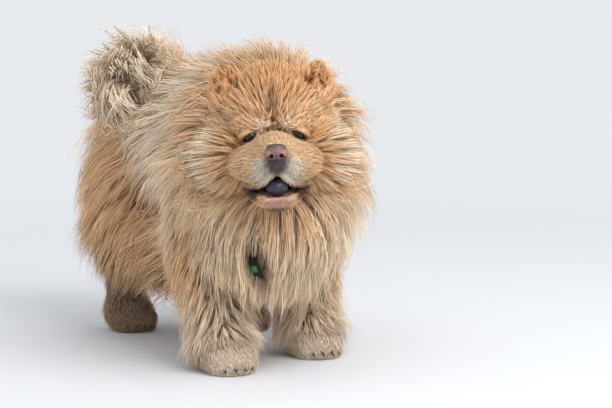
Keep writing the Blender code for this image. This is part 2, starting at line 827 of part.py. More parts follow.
def leg_roots(node, top, bottom, rows, columns, back_lean):
    """Rows round a leg, hanging down, with the feathering behind it leaning back."""

    def lie(place):
        return Vector((0, back_lean, -1))

    surface = surface_of(node)
    roots = []
    for row in range(rows):
        middle = top.lerp(bottom, (row + 0.3) / rows)
        for column in range(columns):
            angle = 2 * math.pi * (column + 0.5 * (row % 2)) / columns
            out = Vector((math.sin(angle), math.cos(angle), 0))
            place = surface.ray_cast(middle + out * 0.25, -out)[0]
            if place is not None:
                roots.append((place, lie))
    return roots


def thigh_roots(thigh):
    hip, _, knee, _, _ = hind_joints(thigh.name.replace("thigh", "leg"))
    return leg_roots(thigh, hip + Vector((0, 0, 0.07)), knee - Vector((0, 0, 0.03)), 4, 7, 0.60)


def fore_roots(leg):
    side = side_of(leg.name)
    foot = paw_centre(leg.name)
    return leg_roots(leg, mirrored((0.085, -0.125, 0.310), side), foot + Vector((0, 0, 0.060)), 4, 5, 0.15)


def finish(obj, group, look):
    """Puts the node in the dog's collection, with its look."""
    for holder in list(obj.users_collection):
        holder.objects.unlink(obj)
    group.objects.link(obj)
    obj.data.materials.clear()
    obj.data.materials.append(look)
    obj.data.shade_smooth()
    obj.data.set_sharp_from_angle(angle=math.radians(50))


def stand_on_centre(nodes):
    """Moves the nodes so that the middle of their box is over the origin, with the lowest point at z = 0."""
    points = [node.matrix_world @ v.co for node in nodes for v in node.data.vertices]
    low = [min(point[axis] for point in points) for axis in range(3)]
    high = [max(point[axis] for point in points) for axis in range(3)]
    shift = Vector((-(low[0] + high[0]) / 2, -(low[1] + high[1]) / 2, -low[2]))
    for node in nodes:
        node.data.transform(Matrix.Translation(shift))
        node.data.update()


def build():
    clear_scene()
    dog = collection("chow_chow")
    coat = material("coat", (0.62, 0.40, 0.22), 0.9)
    pale_coat = material("pale_coat", (0.66, 0.50, 0.34), 0.9)
    leather = material("nose_leather", (0.10, 0.07, 0.065), 0.45)
    mouth = material("mouth_skin", (0.035, 0.035, 0.05), 0.4)
    eyeball = material("eyeball", (0.02, 0.012, 0.01), 0.1)
    webbing = material("webbing", (0.02, 0.02, 0.022), 0.8)
    tag_plastic = material("tag_plastic", (0.05, 0.35, 0.10), 0.5)

    torso = torso_form()
    paws = [paw_form(leg) for leg in STRIDES]
    fore_names = [leg for leg in STRIDES if leg.startswith("front")]
    hind_names = [leg for leg in STRIDES if leg.startswith("hind")]
    hocks = [hock_form(leg) for leg in hind_names]
    thighs = [thigh_form(leg) for leg in hind_names]
    fore_legs = [front_leg_form(leg) for leg in fore_names]
    neck = neck_form()
    path = strap_path(neck)
    strap = strap_form(path)
    tag = tag_form(path)
    head = head_form()
    jaw = jaw_form()
    tongue = tongue_form()
    nose = nose_form()
    tail = tail_form()
    ears = [ear_form(side) for side in (-1, 1)]
    eyes = [eye_form(side) for side in (-1, 1)]
    limbs = [*thighs, *hocks, *fore_legs]
    cut_clear([torso, *paws, *limbs, strap, tag, neck, tail, head, jaw, tongue, nose, *ears])
    for side, eye in zip((-1, 1), eyes):
        open_lids(head, side, eye)

    nodes = [torso, *paws, *limbs, strap, tag, neck, head, jaw, tongue, nose, tail, *ears, *eyes]
    guide = surface_of(torso, *limbs, neck, head, tail)
    coats = [
        (torso, torso_roots(torso) + rump_roots(torso), (0.135, 0.080, 0.022, BODY_COAT * 0.68)),
        *((thigh, thigh_roots(thigh), (0.120, 0.070, 0.020, THIGH_COAT * 0.68)) for thigh in thighs),
        *((leg, fore_roots(leg), (0.105, 0.066, 0.018, LEG_COAT * 0.65)) for leg in fore_legs),
        (neck, mane_roots(neck), (0.130, 0.068, 0.022, MANE_COAT * 0.72)),
        (neck, bib_roots(neck), (0.115, 0.056, 0.022, BODY_COAT * 0.70)),
        (head, crown_roots(head), (0.065, 0.036, 0.014, CROWN_COAT)),
        (head, cheek_roots(head), (0.092, 0.044, 0.018, CHEEK_COAT * 0.6)),
        (tail, plume_roots(tail), (0.125, 0.066, 0.018, TAIL_COAT * 0.62)),
    ]
    strap_places = [place for place, _ in path]
    for node, roots, size in coats:
        others = [other for other in nodes if other is not node]
        lay_locks(node, others, guide, roots, size, keep_off=strap_places)

    looks = {
        coat: [torso, head, jaw, neck, *limbs, *ears],
        pale_coat: [tail, *paws],
        leather: [nose],
        mouth: [tongue],
        eyeball: eyes,
        webbing: [strap],
        tag_plastic: [tag],
    }
    for look, painted in looks.items():
        for node in painted:
            finish(node, dog, look)
    stand_on_centre(nodes)


build()
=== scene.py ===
"""The looks of a chow chow in its thick winter coat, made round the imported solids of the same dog.

The dog walks towards -Y with its left side at +X. Sizes are in metres. One skin stands for the solids
of flesh, and the coat grows from it as thin tapered strands, drawn together in clumps.
"""

import math
from collections import namedtuple

import bmesh
import bpy
import numpy as np
from mathutils import Euler, Matrix, Vector, kdtree
from mathutils.bvhtree import BVHTree


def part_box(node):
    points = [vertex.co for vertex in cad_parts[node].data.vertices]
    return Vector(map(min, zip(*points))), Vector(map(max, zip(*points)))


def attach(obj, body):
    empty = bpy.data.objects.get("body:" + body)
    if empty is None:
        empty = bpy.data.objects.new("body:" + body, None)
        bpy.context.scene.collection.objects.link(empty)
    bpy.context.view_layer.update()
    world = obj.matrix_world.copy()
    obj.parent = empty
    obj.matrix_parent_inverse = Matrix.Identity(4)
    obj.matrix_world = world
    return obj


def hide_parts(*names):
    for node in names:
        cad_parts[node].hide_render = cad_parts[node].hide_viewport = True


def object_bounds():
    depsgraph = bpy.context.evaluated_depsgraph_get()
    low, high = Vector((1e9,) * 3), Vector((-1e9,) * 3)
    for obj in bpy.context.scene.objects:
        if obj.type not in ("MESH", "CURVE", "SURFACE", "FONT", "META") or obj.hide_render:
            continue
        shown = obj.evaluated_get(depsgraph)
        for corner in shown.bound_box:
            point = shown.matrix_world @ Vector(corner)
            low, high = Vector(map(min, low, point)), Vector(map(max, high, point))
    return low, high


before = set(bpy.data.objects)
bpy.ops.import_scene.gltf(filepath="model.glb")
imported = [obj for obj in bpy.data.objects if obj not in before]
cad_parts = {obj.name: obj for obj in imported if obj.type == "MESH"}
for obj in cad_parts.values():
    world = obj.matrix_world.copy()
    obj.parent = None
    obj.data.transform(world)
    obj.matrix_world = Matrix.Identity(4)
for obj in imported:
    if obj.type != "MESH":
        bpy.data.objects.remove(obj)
CAD_LOW, CAD_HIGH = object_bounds()

# Driving sizes, as in the solids
SPINE_HEIGHT = 0.350
RIB_HALF_WIDTH = 0.112
TRACK = 0.098
PAW_HEIGHT = 0.028
EYE_SPACING = 0.0385
EYE_RADIUS = 0.0115
EYE_SET_BACK = -0.002  # the eyeball's middle from the line between the eyes, along the head's y
LID_SLANT = math.radians(30)
HEAD_TURN = math.radians(-22.5)
HEAD_ROLL = math.radians(-2.5)
HEAD_PITCH = math.radians(2.0)
HEAD_TILT = (HEAD_PITCH, HEAD_ROLL, HEAD_TURN)
STANDING_EYES = Vector((-0.076, -0.375, 0.407))  # before the solids were centred on their box
PAW_STANDS = {"front": -0.178, "hind": 0.232}
STRIDES = {
    "front_leg_right": -0.045,
    "front_leg_left": 0.030,
    "hind_leg_right": 0.020,
    "hind_leg_left": -0.070,
}

# How deep the coat stands over the skin, root to tip
BODY_COAT = 0.066
SKIRT_COAT = 0.085
MANE_COAT = 0.082
CROWN_COAT = 0.026
CHEEK_COAT = 0.048
THIGH_COAT = 0.066
LEG_COAT = 0.034
HOCK_COAT = 0.013
PAW_COAT = 0.005
TAIL_COAT = 0.066
EAR_COAT = 0.009
FACE_COAT = 0.004
NO_COAT = 0.0025

SEED = 11
DICE = np.random.default_rng(SEED)


def eyes_middle():
    """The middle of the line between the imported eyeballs."""
    corners = [corner for side in ("left", "right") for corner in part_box(f"eye_{side}")]
    return sum(corners, Vector()) / len(corners)


TURN = Euler(HEAD_TILT).to_matrix()
EYES = eyes_middle() - TURN @ Vector((0, EYE_SET_BACK, 0))
HEAD = Matrix.Translation(EYES) @ TURN.to_4x4()
SHIFT = EYES - STANDING_EYES
SHIFT.z = 0.0


def at(x, y, z):
    """A place on the body, moved as the solids were when they were centred."""
    return Vector((x, y, z)) + SHIFT


def on_head(x, y, z):
    return HEAD @ Vector((x, y, z))


def linear(*rgb):
    """A colour from its eight-bit screen values, as the linear light that shaders take."""
    shares = [channel / 255 for channel in rgb]
    return tuple(c / 12.92 if c <= 0.04045 else ((c + 0.055) / 1.055) ** 2.4 for c in shares)


# Forms of the flesh

def mass(centre, radii, coat, tilt=(0, 0, 0)):
    """An ellipsoid of flesh: its middle, its three radii on the skin, the coat over it and its turn."""
    return Vector(centre), radii, coat, Euler(tilt).to_matrix()


def head_mass(centre, radii, coat, tilt=(0, 0, 0)):
    return HEAD @ Vector(centre), radii, coat, TURN @ Euler(tilt).to_matrix()


def chain(start, end, radii, coats, steps, place=mass):
    """Balls from start to end, as masses. The radius and the coat change evenly between their two values."""
    start, end = Vector(start), Vector(end)
    shares = [k / (steps - 1) for k in range(steps)]
    return [
        place(
            start.lerp(end, share),
            (radii[0] + (radii[1] - radii[0]) * share,) * 3,
            coats[0] + (coats[1] - coats[0]) * share,
        )
        for share in shares
    ]


def mirrored(point, side):
    return Vector((point[0] * side, point[1], point[2]))


def side_of(name):
    return 1 if name.endswith("left") else -1


def torso_masses():
    back = SPINE_HEIGHT
    return [
        mass(at(0, -0.020, back), (RIB_HALF_WIDTH, 0.170, 0.110), BODY_COAT),
        mass(at(0, -0.125, back - 0.005), (0.100, 0.075, 0.112), BODY_COAT),
        mass(at(0, 0.100, back + 0.005), (0.100, 0.130, 0.095), BODY_COAT),
        mass(at(0, 0.185, back - 0.005), (0.108, 0.090, 0.095), BODY_COAT),
        mass(at(0, 0.030, back - 0.145), (0.070, 0.150, 0.055), SKIRT_COAT),
    ]


def neck_masses():
    base = at(0, -0.145, SPINE_HEIGHT + 0.035)
    nape = on_head(0, 0.180, -0.005)
    throat = on_head(0, 0.125, -0.120)
    chest = at(0, -0.205, SPINE_HEIGHT - 0.070)
    bib = at(-0.022, -0.195, SPINE_HEIGHT - 0.142)
    return [
        *chain(base, nape, (0.095, 0.080), (BODY_COAT, MANE_COAT * 0.85), 6),
        head_mass((0, 0.150, -0.018), (0.090, 0.026, 0.090), MANE_COAT),
        *chain(throat, chest, (0.066, 0.084), (MANE_COAT * 0.8, BODY_COAT), 5),
        mass(bib, (0.060, 0.060, 0.056), BODY_COAT * 0.6),
    ]


def skull_masses():
    return [
        head_mass((0, 0.088, 0.016), (0.078, 0.078, 0.058), CROWN_COAT),
        head_mass((0, 0.088, 0.055), (0.050, 0.048, 0.036), CROWN_COAT),
        head_mass((0, 0.048, 0.034), (0.066, 0.044, 0.042), CROWN_COAT * 0.6),
    ]


def cheek_masses():
    return [
        head_mass((side * 0.052, 0.062, -0.032), (0.038, 0.050, 0.044), CHEEK_COAT)
        for side in (-1, 1)
    ]


MOUTH_CORNER = Vector((0.050, 0.000, -0.082))
FRONT_LIP = Vector((0.026, -0.054, -0.073))
LIP_PEAK = Vector((0.004, -0.068, -0.051))
CHIN_LIP = Vector((0.018, -0.066, -0.096))
LIP_RADIUS = 0.0042
LIP_BALLS = 12


def lip_masses(lines):
    """A soft rim along each line."""
    masses = []
    for start, end in lines:
        masses += chain(start, end, (LIP_RADIUS,) * 2, (NO_COAT,) * 2, LIP_BALLS, head_mass)
    return masses


def lip_lines():
    """The edges of the upper lips and of the lower lip, as pairs of ends on the head."""
    upper, lower = [], []
    for side in (-1, 1):
        corner = mirrored(MOUTH_CORNER, side)
        front = mirrored(FRONT_LIP, side)
        low_corner = corner + Vector((-side * 0.006, -0.006, -0.008))
        upper += [(corner, front), (front, mirrored(LIP_PEAK, side))]
        lower.append((low_corner, mirrored(CHIN_LIP, side)))
    return upper, [*lower, (mirrored(CHIN_LIP, -1), CHIN_LIP)]


def muzzle_masses():
    masses = [
        head_mass((0, -0.048, -0.012), (0.028, 0.045, 0.020), FACE_COAT),
        head_mass((0, -0.036, -0.028), (0.046, 0.047, 0.032), FACE_COAT),
        head_mass((0, -0.066, -0.036), (0.020, 0.018, 0.017), FACE_COAT),
    ]
    for side in (-1, 1):
        masses += [
            head_mass((side * 0.034, 0.014, 0.016), (0.028, 0.021, 0.017), FACE_COAT),
            head_mass((side * 0.0225, -0.001, 0.018), (0.012, 0.012, 0.010), FACE_COAT),
            head_mass((side * EYE_SPACING, 0.000, 0.000), (0.018, 0.0155, 0.0130), NO_COAT),
            head_mass((side * 0.031, -0.024, -0.040), (0.034, 0.044, 0.032), FACE_COAT),
        ]
    return masses + lip_masses(lip_lines()[0])


def jaw_masses():
    return [
        head_mass((0, -0.041, -0.103), (0.024, 0.028, 0.010), FACE_COAT),
        head_mass((0, -0.012, -0.102), (0.030, 0.042, 0.016), FACE_COAT),
        head_mass((0, 0.012, -0.096), (0.042, 0.046, 0.022), FACE_COAT),
        *lip_masses(lip_lines()[1]),
    ]


EAR_LEAN = (math.radians(-12), math.radians(10), math.radians(-12))


def ear_lean(side):
    return EAR_LEAN[0], side * EAR_LEAN[1], side * EAR_LEAN[2]


def ear_masses(side):
    lean = ear_lean(side)
    return [
        head_mass((side * 0.070, 0.072, 0.060), (0.028, 0.012, 0.026), EAR_COAT, lean),
        head_mass((side * 0.073, 0.068, 0.079), (0.021, 0.010, 0.020), EAR_COAT, lean),
        head_mass((side * 0.075, 0.065, 0.092), (0.012, 0.008, 0.012), EAR_COAT, lean),
    ]


def ear_cup_masses(side):
    """The hollows in front of the ears, as cutters."""
    lean = ear_lean(side)
    return [
        head_mass((side * 0.071, 0.058, 0.068), (0.016, 0.011, 0.018), NO_COAT, lean),
        head_mass((side * 0.073, 0.056, 0.084), (0.009, 0.008, 0.011), NO_COAT, lean),
    ]


TAIL_PATH = [
    at(0.000, 0.250, 0.415),
    at(-0.010, 0.298, 0.436),
    at(-0.045, 0.295, 0.462),
    at(-0.085, 0.240, 0.476),
    at(-0.112, 0.170, 0.466),
    at(-0.122, 0.095, 0.450),
]
TAIL_RADII = (0.030, 0.029, 0.027, 0.025, 0.021, 0.015)
TAIL_BALLS = 4  # to each span of the path


def tail_masses():
    masses = []
    for k in range(len(TAIL_PATH) - 1):
        radii = TAIL_RADII[k : k + 2]
        masses += chain(TAIL_PATH[k], TAIL_PATH[k + 1], radii, (TAIL_COAT,) * 2, TAIL_BALLS)
    return masses


def front_leg_masses(name):
    stride, side = STRIDES[name], side_of(name)
    shoulder = mirrored((0.080, -0.135, 0.300), side) + SHIFT
    elbow = mirrored((TRACK, -0.105 + 0.3 * stride, 0.215), side) + SHIFT
    wrist = mirrored((TRACK, -0.150 + 0.8 * stride, 0.085), side) + SHIFT
    heel = mirrored((TRACK, -0.160 + stride, 0.050), side) + SHIFT
    return [
        *chain(shoulder, elbow, (0.050, 0.040), (LEG_COAT,) * 2, 5),
        *chain(elbow, wrist, (0.038, 0.031), (LEG_COAT,) * 2, 6),
        *chain(wrist, heel, (0.031, 0.030), (LEG_COAT, LEG_COAT * 0.8), 3),
    ]


def hind_joints(name):
    """Hip, middle of the thigh, knee, hock and heel."""
    stride, side = STRIDES[name], side_of(name)
    places = (
        (0.070, 0.190, 0.350),
        (0.082, 0.185 + 0.2 * stride, 0.285),
        (0.088, 0.155 + 0.5 * stride, 0.220),
        (TRACK, 0.255 + stride, 0.130),
        (TRACK, 0.245 + stride, 0.050),
    )
    return [mirrored(place, side) + SHIFT for place in places]


def thigh_masses(name):
    hip, thigh, knee, hock, _ = hind_joints(name)
    return [
        mass(thigh, (0.050, 0.088, 0.100), THIGH_COAT),
        *chain(hip, knee, (0.060, 0.052), (THIGH_COAT,) * 2, 4),
        *chain(knee, knee.lerp(hock, 0.6), (0.052, 0.040), (THIGH_COAT, THIGH_COAT * 0.5), 4),
    ]


def hock_masses(name):
    _, _, knee, hock, heel = hind_joints(name)
    return [
        *chain(knee.lerp(hock, 0.4), hock, (0.038, 0.029), (HOCK_COAT,) * 2, 4),
        *chain(hock, heel, (0.027, 0.026), (HOCK_COAT,) * 2, 5),
    ]


def paw_centre(leg):
    stand = PAW_STANDS["front" if leg.startswith("front") else "hind"]
    return mirrored((TRACK, stand + STRIDES[leg], PAW_HEIGHT), side_of(leg)) + SHIFT


TOE_SHARES = (-1.0, -0.36, 0.36, 1.0)  # across the paw, from the dog's right to its left
TOE_SPREAD = 0.024
TOE_SET_BACK = 0.014  # of the outer toes
TOE_REACH = 0.040
TOE_DROP = 0.008


def toe_centres(leg):
    """The middle of each toe."""
    return [
        paw_centre(leg) + Vector((share * TOE_SPREAD, TOE_SET_BACK * abs(share) - TOE_REACH, -TOE_DROP))
        for share in TOE_SHARES
    ]


def paw_masses(leg):
    toes = [mass(toe, (0.0178, 0.0265, 0.0255), PAW_COAT) for toe in toe_centres(leg)]
    return [mass(paw_centre(leg), (0.041, 0.046, 0.036), PAW_COAT), *toes]


LEGS = list(STRIDES)
FRONT_LEGS = [leg for leg in LEGS if leg.startswith("front")]
HIND_LEGS = [leg for leg in LEGS if leg.startswith("hind")]

# Each region of the coat with its masses
REGIONS = {
    "torso": torso_masses(),
    "neck": neck_masses(),
    "skull": skull_masses(),
    "cheek": cheek_masses(),
    "muzzle": muzzle_masses(),
    "jaw": jaw_masses(),
    "ear": [m for side in (-1, 1) for m in ear_masses(side)],
    "tail": tail_masses(),
    "front_leg": [m for leg in FRONT_LEGS for m in front_leg_masses(leg)],
    "thigh": [m for leg in HIND_LEGS for m in thigh_masses(leg)],
    "hock": [m for leg in HIND_LEGS for m in hock_masses(leg)],
    "paw": [m for leg in LEGS for m in paw_masses(leg)],
}


# Mesh tools

COLOURS = "fur"  # the name of the colours that a mesh carries on its points
LAYOUT_NAME = "OFBake"


def new_object(name, data):
    obj = bpy.data.objects.new(name, data)
    bpy.context.scene.collection.objects.link(obj)
    return obj


def mesh_from(bm, name):
    mesh = bpy.data.meshes.new(name)
    bm.to_mesh(mesh)
    bm.free()
    return mesh


def apply_modifiers(obj):
    graph = bpy.context.evaluated_depsgraph_get()
    mesh = bpy.data.meshes.new_from_object(obj.evaluated_get(graph))
    obj.modifiers.clear()
    old = obj.data
    obj.data = mesh
    bpy.data.meshes.remove(old)


def shade(mesh, colours):
    """Gives a mesh its colours, point by point, and smooth faces."""
    rgba = np.concatenate([colours, np.ones((len(colours), 1))], axis=1)
    layer = mesh.color_attributes.new(COLOURS, "FLOAT_COLOR", "POINT")
    layer.data.foreach_set("color", rgba.astype(np.float32).ravel())
    mesh.polygons.foreach_set("use_smooth", np.ones(len(mesh.polygons), bool))


def clear_materials(mesh):
    """Drops the empty slots that a cut leaves, so that one material serves every face."""
    mesh.materials.clear()
    mesh.polygons.foreach_set("material_index", np.zeros(len(mesh.polygons), np.int32))


def mesh_of(name, points, corners, sizes):
    """A mesh from arrays: its points, its faces' corners in a row and each face's number of corners."""
    mesh = bpy.data.meshes.new(name)
    mesh.vertices.add(len(points))
    mesh.vertices.foreach_set("co", np.asarray(points, np.float32).ravel())
    mesh.loops.add(len(corners))
    mesh.loops.foreach_set("vertex_index", np.asarray(corners, np.int32))
    mesh.polygons.add(len(sizes))
    starts = np.concatenate([[0], np.cumsum(sizes)[:-1]])
    mesh.polygons.foreach_set("loop_start", starts.astype(np.int32))
    mesh.update(calc_edges=True)
    return mesh


def unit_ball():
    """The points, corners and face sizes of a ball of radius one."""
    bm = bmesh.new()
    bmesh.ops.create_uvsphere(bm, u_segments=32, v_segments=20, radius=1)
    points = np.array([v.co for v in bm.verts])
    faces = [[v.index for v in face.verts] for face in bm.faces]
    bm.free()
    return points, np.concatenate(faces), np.array([len(face) for face in faces])


BALL = unit_ball()
SOFTENING = 0.5  # in each round


def blended(name, masses, voxel, rounds):
    """One closed soft form over the masses, of triangles."""
    points, corners, sizes = BALL
    placed = [points * radii @ np.array(turn).T + np.array(centre) for centre, radii, _, turn in masses]
    shifted = [corners + k * len(points) for k in range(len(masses))]
    mesh = mesh_of(name, np.concatenate(placed), np.concatenate(shifted), np.tile(sizes, len(masses)))
    obj = new_object(name, mesh)
    merge = obj.modifiers.new("merge", "REMESH")
    merge.mode = "VOXEL"
    merge.voxel_size = voxel
    soften = obj.modifiers.new("soften", "SMOOTH")
    soften.factor = SOFTENING
    soften.iterations = rounds
    split = obj.modifiers.new("split", "TRIANGULATE")
    split.min_vertices = 4
    apply_modifiers(obj)
    return obj


def combine(obj, other, operation):
    """Cuts or joins one closed form with another, which is used up."""
    change = obj.modifiers.new("combine", "BOOLEAN")
    change.operation = operation
    change.object = other
    change.solver = "MANIFOLD"
    apply_modifiers(obj)
    bpy.data.objects.remove(other, do_unlink=True)


def surface_of(obj):
    bm = bmesh.new()
    bm.from_mesh(obj.data)
    tree = BVHTree.FromBMesh(bm)
    bm.free()
    return tree


def read(data, name, width, kind=np.float64):
    values = np.empty(len(data) * width, kind)
    data.foreach_get(name, values)
    return values.reshape(-1, width) if width > 1 else values


def unit(vectors):
    return vectors / np.maximum(np.linalg.norm(vectors, axis=-1, keepdims=True), 1e-9)


def smooth_step(values, low, high):
    share = np.clip((values - low) / (high - low), 0.0, 1.0)
    return share * share * (3 - 2 * share)


# Fields over the skin

REGION_NAMES = list(REGIONS)
ALL_MASSES = [m for masses in REGIONS.values() for m in masses]
MASS_REGIONS = np.array([k for k, masses in enumerate(REGIONS.values()) for _ in masses])
MASS_CENTRES = np.array([m[0] for m in ALL_MASSES])
MASS_RADII = np.array([m[1] for m in ALL_MASSES])
MASS_COATS = np.array([m[2] for m in ALL_MASSES])
MASS_TURNS = np.array([m[3] for m in ALL_MASSES])
BLEND_WIDTH = 0.020  # over how much distance one region's coat passes into the next
POINTS_AT_ONCE = 4000


def distances(points):
    """About how far each point is from the surface of each mass."""
    local = np.einsum("nmi,mij->nmj", points[:, None, :] - MASS_CENTRES[None], MASS_TURNS)
    near = np.linalg.norm(local / MASS_RADII, axis=2)
    slope = np.linalg.norm(local / MASS_RADII**2, axis=2)
    return near * (near - 1) / np.maximum(slope, 1e-6)


def survey(points):
    """The share of each region at each point, and the coat's depth there."""
    shares = np.empty((len(points), len(REGION_NAMES)))
    depths = np.empty(len(points))
    for start in range(0, len(points), POINTS_AT_ONCE):
        part = slice(start, start + POINTS_AT_ONCE)
        away = distances(points[part])
        away -= away.min(axis=1, keepdims=True)
        weights = np.exp(-((away / BLEND_WIDTH) ** 2))
        depths[part] = (weights * MASS_COATS).sum(axis=1) / weights.sum(axis=1)
        for k in range(len(REGION_NAMES)):
            shares[part, k] = weights[:, MASS_REGIONS == k].max(axis=1)
    return shares / shares.sum(axis=1, keepdims=True), depths


HEAD_TURN_ROWS = np.array(TURN)
EYES_PLACE = np.array(EYES)


def to_head(points):
    return (points - EYES_PLACE) @ HEAD_TURN_ROWS


def from_head(vectors):
    return vectors @ HEAD_TURN_ROWS.T


def both_sides(q):
    """Places on the head with the right side laid over the left."""
    return np.stack([np.abs(q[:, 0]), q[:, 1], q[:, 2]], axis=1)


def rows(count, x, y, z):
    """The same vector for each of so many points, or vectors from columns."""
    return np.stack([np.broadcast_to(np.asarray(value, float), count) for value in (x, y, z)], axis=1)


def face_lie(points):
    """Away from the nose: back over the muzzle and the brow, outward over the cheeks."""
    x, y, z = to_head(points).T
    return from_head(unit(rows(len(x), 1.5 * x, y + 0.105, 1.15 * (z + 0.020))))


def mane_lie(points):
    """Outward round the face and down, and straight down over the throat and chest."""
    x, y, z = to_head(points).T
    ring = from_head(unit(rows(len(x), x, 0.0, z + 0.015))) + rows(len(x), 0.0, 0.45, -0.55)
    down = rows(len(x), 0.35 * np.clip(points[:, 0] / 0.10, -1, 1), -0.10, -1.0)
    low = smooth_step(-z, 0.085, 0.170)[:, None]
    behind = smooth_step(y, 0.190, 0.270)[:, None]
    along = torso_lie(points)
    return unit(unit(ring) * (1 - low) + unit(down) * low) * (1 - behind) + along * behind


def torso_lie(points):
    x, y, z = points.T
    side = np.clip(np.abs(x) / 0.10, 0, 1)
    front = smooth_step(-y, 0.150, 0.230)
    return unit(rows(len(x), 0.25 * np.sign(x) * side, 1.0 - 0.95 * front, -0.85 * side - front))


def thigh_lie(points):
    return unit(rows(len(points), 0.22 * np.sign(points[:, 0]), 0.60, -1.0))


def front_leg_lie(points):
    return unit(rows(len(points), 0.10 * np.sign(points[:, 0]), 0.15, -1.0))


def paw_lie(points):
    return unit(rows(len(points), 0.0, -0.6, -0.6))


def ear_lie(points):
    x, y, z = to_head(points).T
    return from_head(unit(rows(len(x), 0.25 * np.sign(x), -0.15, 1.0)))


TAIL_POINTS = np.array(TAIL_PATH)


def tail_lie(points):
    """Along the tail to its tip, spread out from its bone and pulled down."""
    starts, ends = TAIL_POINTS[:-1], TAIL_POINTS[1:]
    spans = ends - starts
    shares = np.einsum("nkj,kj->nk", points[:, None] - starts, spans) / (spans**2).sum(axis=1)
    feet = starts + spans * np.clip(shares, 0, 1)[:, :, None]
    away = points[:, None] - feet
    nearest = np.linalg.norm(away, axis=2).argmin(axis=1)
    picked = away[np.arange(len(points)), nearest]
    return unit(unit(spans)[nearest] + 0.55 * unit(picked) + rows(len(points), 0, 0, -0.40))


# How each region's fur grows: strands to the square metre, their length and width, how steeply
# they leave the skin, how far apart the locks stand, how far they close up and how they fall
Growth = namedtuple("Growth", "lie density reach width rise lock gather fall")
GROWTH = {
    "torso": Growth(torso_lie, 62000, 1.55, 0.0021, 0.80, 0.017, 0.62, 0.10),
    "neck": Growth(mane_lie, 105000, 1.45, 0.0020, 0.95, 0.017, 0.62, 0.12),
    "skull": Growth(face_lie, 240000, 1.35, 0.0013, 0.75, 0.008, 0.50, 0.02),
    "cheek": Growth(face_lie, 200000, 1.50, 0.0015, 0.60, 0.010, 0.55, 0.10),
    "muzzle": Growth(face_lie, 420000, 2.20, 0.0009, 0.40, 0.004, 0.35, 0.02),
    "jaw": Growth(face_lie, 320000, 2.20, 0.0010, 0.40, 0.005, 0.40, 0.10),
    "ear": Growth(ear_lie, 330000, 1.70, 0.0011, 0.45, 0.005, 0.40, 0.00),
    "tail": Growth(tail_lie, 120000, 1.70, 0.0020, 0.65, 0.014, 0.60, 0.12),
    "front_leg": Growth(front_leg_lie, 110000, 1.55, 0.0018, 0.65, 0.012, 0.58, 0.10),
    "thigh": Growth(thigh_lie, 85000, 1.50, 0.0020, 0.75, 0.016, 0.62, 0.10),
    "hock": Growth(front_leg_lie, 230000, 2.20, 0.0014, 0.45, 0.006, 0.40, 0.05),
    "paw": Growth(paw_lie, 300000, 2.20, 0.0012, 0.40, 0.005, 0.40, 0.00),
}


def blend_of(shares, field):
    """One of the measures of growth at each root, from its regions' shares."""
    return shares @ np.array([getattr(GROWTH[name], field) for name in REGION_NAMES])


# Colours of the coat

GOLD = np.array(linear(238, 196, 150))
ORANGE = np.array(linear(226, 168, 112))
CREAM = np.array(linear(250, 232, 206))
PALE = np.array(linear(242, 232, 214))
TAN = np.array(linear(240, 202, 158))
SMOKE = np.array(linear(84, 80, 84))
# a brown for painted shade in creases: the furrow of the brow and the corners of the mouth
CREASE_SHADE = np.array(linear(128, 92, 70))
INK = np.array(linear(30, 24, 24))
LIP_PINK = np.array(linear(206, 160, 142))
# a grey-brown for the hind legs: the darker colour of wet fur, with painted shade under the body
WET_BROWN_AND_SHADE = np.array(linear(158, 136, 120))


SPOT_FADE = (0.55, 1.15)  # where a spot begins to fade and where it ends, as shares of its radii


def spot(points, centre, radii):
    """One at the middle of a soft round patch and nothing past its radii."""
    away = np.linalg.norm((points - np.asarray(centre)) / np.asarray(radii), axis=1)
    return 1 - smooth_step(away, *SPOT_FADE)


def paint(colours, colour, share):
    return colours + (colour - colours) * share[:, None]


# The face's patches in the order of painting: colour, whether it is on both sides, middle, radii, strength
BROW_SPOT = (ORANGE, False, (0, 0.02, 0.085), (0.075, 0.10, 0.055), 0.6)
FACE_SPOTS = [
    (TAN, True, (0.03, -0.05, -0.030), (0.055, 0.07, 0.060), 1.0),
    # painted shade: the orange-brown line where the muzzle meets the cheek
    (ORANGE, True, (0.056, -0.010, -0.020), (0.013, 0.045, 0.040), 0.7),  # behind the muzzle
    (CREAM, True, (0.021, -0.014, 0.016), (0.009, 0.03, 0.009), 0.5),  # over the eyes
    (PALE, True, (0.022, -0.072, -0.050), (0.020, 0.05, 0.026), 0.95),  # upper lips
    (SMOKE, False, (0, -0.088, -0.034), (0.021, 0.040, 0.026), 0.95),  # under the nose
    # painted shade in the furrow of the brow
    (CREASE_SHADE, False, (0, 0.0, 0.040), (0.006, 0.06, 0.030), 0.6),  # the furrow of the brow
    # painted shade in the corners of the mouth
    (CREASE_SHADE, True, (0.045, -0.010, -0.093), (0.024, 0.045, 0.014), 0.75),  # corners of the mouth
    (INK, True, (0.044, -0.020, -0.090), (0.022, 0.050, 0.013), 0.75),
    # painted shade under the chin
    (INK, False, (0, -0.05, -0.114), (0.032, 0.05, 0.009), 0.8),  # under the chin
    (INK, False, (0, -0.030, -0.080), (0.046, 0.060, 0.013), 1.0),  # inside the mouth
    (LIP_PINK, False, (0, -0.066, -0.0985), (0.028, 0.030, 0.0095), 1.0),  # lower lip
]


def paint_spots(colours, q, spots):
    """Lays spots over the colours of places on the head."""
    sided = both_sides(q)
    for colour, on_both, centre, radii, strength in spots:
        colours = paint(colours, colour, spot(sided if on_both else q, centre, radii) * strength)
    return colours


